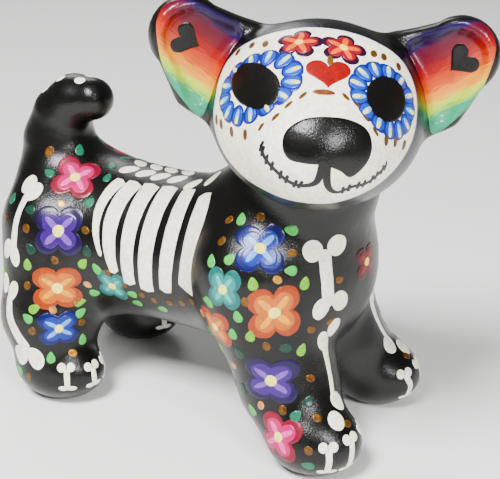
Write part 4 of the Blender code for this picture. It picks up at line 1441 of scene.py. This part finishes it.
def plain_fibre(name, dark, light, fibre):
    """Matt paper or card: fibres of a given size, mottled between two tones."""
    material, tree, shader = new_material(name)
    place = add(tree, "ShaderNodeTexCoord").outputs["Object"]
    noise = add(tree, "ShaderNodeTexNoise",
                {"Vector": place, "Scale": 1.0 / (fibre * MM), "Detail": 5.0})
    tone = add(tree, "ShaderNodeMix",
               {"Factor": noise, 6: linear(dark), 7: linear(light)}, data_type="RGBA")
    tree.links.new(tone.outputs[2], shader.inputs["Base Color"])
    bump = add(tree, "ShaderNodeBump", {"Height": noise, "Distance": 0.05 * MM})
    tree.links.new(bump.outputs[0], shader.inputs["Normal"])
    shader.inputs["Roughness"].default_value = PAPER_ROUGHNESS
    return material


def galvanised_wire():
    """Steel under a dull zinc skin."""
    material, tree, shader = new_material("galvanised_steel_wire")
    place = add(tree, "ShaderNodeTexCoord").outputs["Object"]
    noise = add(tree, "ShaderNodeTexNoise",
                {"Vector": place, "Scale": 1.0 / (ZINC_GRAIN * MM), "Detail": 2.0})
    rough = add(tree, "ShaderNodeMapRange", {"Value": noise, "To Min": 0.3, "To Max": 0.5})
    tree.links.new(rough.outputs[0], shader.inputs["Roughness"])
    shader.inputs["Base Color"].default_value = linear("#BFC2C4")
    shader.inputs["Metallic"].default_value = 1.0
    return material


print("matt paper:", PAPER_ROUGHNESS, "rough")

# %% [markdown]
# The frame's pieces keep their shape and place; only their material is changed. Newsprint is grey,
# card brown, the pasted strips whitish and the wire pale grey.

# %% Finishes for the frame's own pieces
INNER = {
    plain_fibre("rolled_newsprint", "#8C8880", "#C2BDB0", 1.2):
        ("front_leg_core_right", "front_leg_core_left", "hind_leg_core_right",
         "hind_leg_core_left"),
    plain_fibre("brown_card", "#8A6238", "#AE8656", 1.5): ("neck_tube",),
    plain_fibre("pasted_paper_strip", "#B8AE98", "#D8D0BC", 1.0):
        ("back_seam_strip", "belly_seam_strip"),
    galvanised_wire(): ("spine_wire", "front_leg_wire", "hind_leg_wire"),
}
for material, names in INNER.items():
    for name in names:
        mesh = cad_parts[name].data
        mesh.materials.clear()
        mesh.materials.append(material)
print("inner finishes:", len(INNER))

# %% [markdown]
# ## On the table
# A plain pale floor, one soft light from above on the viewer's left, a weaker one in front, a faint
# one behind, and pale surroundings, as for a catalogue picture. The main light is small enough for
# the varnish to show clear highlights.

# %% Floor and light
def soft_light(name, place, aim, size, power):
    """Square area light that looks at a point; all in metres and watts."""
    data = bpy.data.lights.new(name, "AREA")
    data.size = size
    data.energy = power
    light = bpy.data.objects.new(name, data)
    light.location = place
    light.rotation_euler = (Vector(aim) - Vector(place)).to_track_quat("-Z", "Y").to_euler()
    bpy.context.scene.collection.objects.link(light)
    return light


HALF_FLOOR = 3.0              # in metres
corners = ((-1, -1), (1, -1), (1, 1), (-1, 1))
floor_mesh = bpy.data.meshes.new("floor")
floor_mesh.from_pydata([(x * HALF_FLOOR, y * HALF_FLOOR, 0.0) for x, y in corners],
                       [], [(0, 1, 2, 3)])
floor_paint, _, floor_shader = new_material("white_paper_sweep")
floor_shader.inputs["Base Color"].default_value = linear("#FBFBF9")
floor_shader.inputs["Roughness"].default_value = 0.9
floor_mesh.materials.append(floor_paint)
floor = bpy.data.objects.new("floor", floor_mesh)
bpy.context.scene.collection.objects.link(floor)

middle = (low + high) / 2.0
soft_light("key", (-0.50, 0.02, 0.75), middle, 0.26, 18.0)
soft_light("front_fill", (-0.42, -0.62, 0.50), middle, 0.25, 7.0)
soft_light("rim", (0.5, 0.45, 0.5), middle, 0.3, 1.5)
world = bpy.data.worlds.new("studio")
world.use_nodes = True
world.node_tree.nodes["Background"].inputs["Color"].default_value = linear("#FFFFFF")
world.node_tree.nodes["Background"].inputs["Strength"].default_value = 0.18
bpy.context.scene.world = world
print("lights:", len(bpy.data.lights))

# %% [markdown]
# The camera stands at the dog's right front corner, a little above it, so that the face, the right
# flank and the right legs are seen. It is close, so the head looks large against the hind legs.

# %% Camera
CAMERA_PLACE = (-296.8, -172.2, 210.9)
CAMERA_AIM = (-9.6, -15.6, 68.0)
LENS, FILM_WIDTH = 88.4, 36.0
camera_data = bpy.data.cameras.new("camera")
camera_data.lens = LENS
camera_data.sensor_width = FILM_WIDTH
camera_data.clip_start = 0.01
camera = bpy.data.objects.new("camera", camera_data)
camera.location = Vector(CAMERA_PLACE) * MM
gaze = Vector(CAMERA_AIM) - Vector(CAMERA_PLACE)
camera.rotation_euler = gaze.to_track_quat("-Z", "Y").to_euler()
bpy.context.scene.collection.objects.link(camera)
bpy.context.scene.camera = camera
print("camera", round(gaze.length), "mm from its aim")

# %% [markdown]
# ## Tie everything to the frame
# The figure is one stiff thing, so every piece rides on the same body. The skin stands for all
# eleven outer shells, which are hidden.

# %% Pieces and their body
SHELLS = ("face_shell", "head_back_shell", "ear_right", "ear_left", "body_right_shell",
          "body_left_shell", "tail", "front_leg_right_shell", "front_leg_left_shell",
          "hind_leg_right_shell", "hind_leg_left_shell")
floor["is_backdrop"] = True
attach(skin, "root")
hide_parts(*SHELLS)
for piece in (ribs, bones, bone_knobs, vertebrae, flowers, leaves, dots, mask_edge, mask, petals,
              hearts, forehead, face_dots, smile, rainbow):
    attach(piece, "root")
for piece in (nose, eyes, ear_hearts):
    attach(piece, "root")
faces = sum(len(o.data.polygons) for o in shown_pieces())
print("faces in all:", faces)
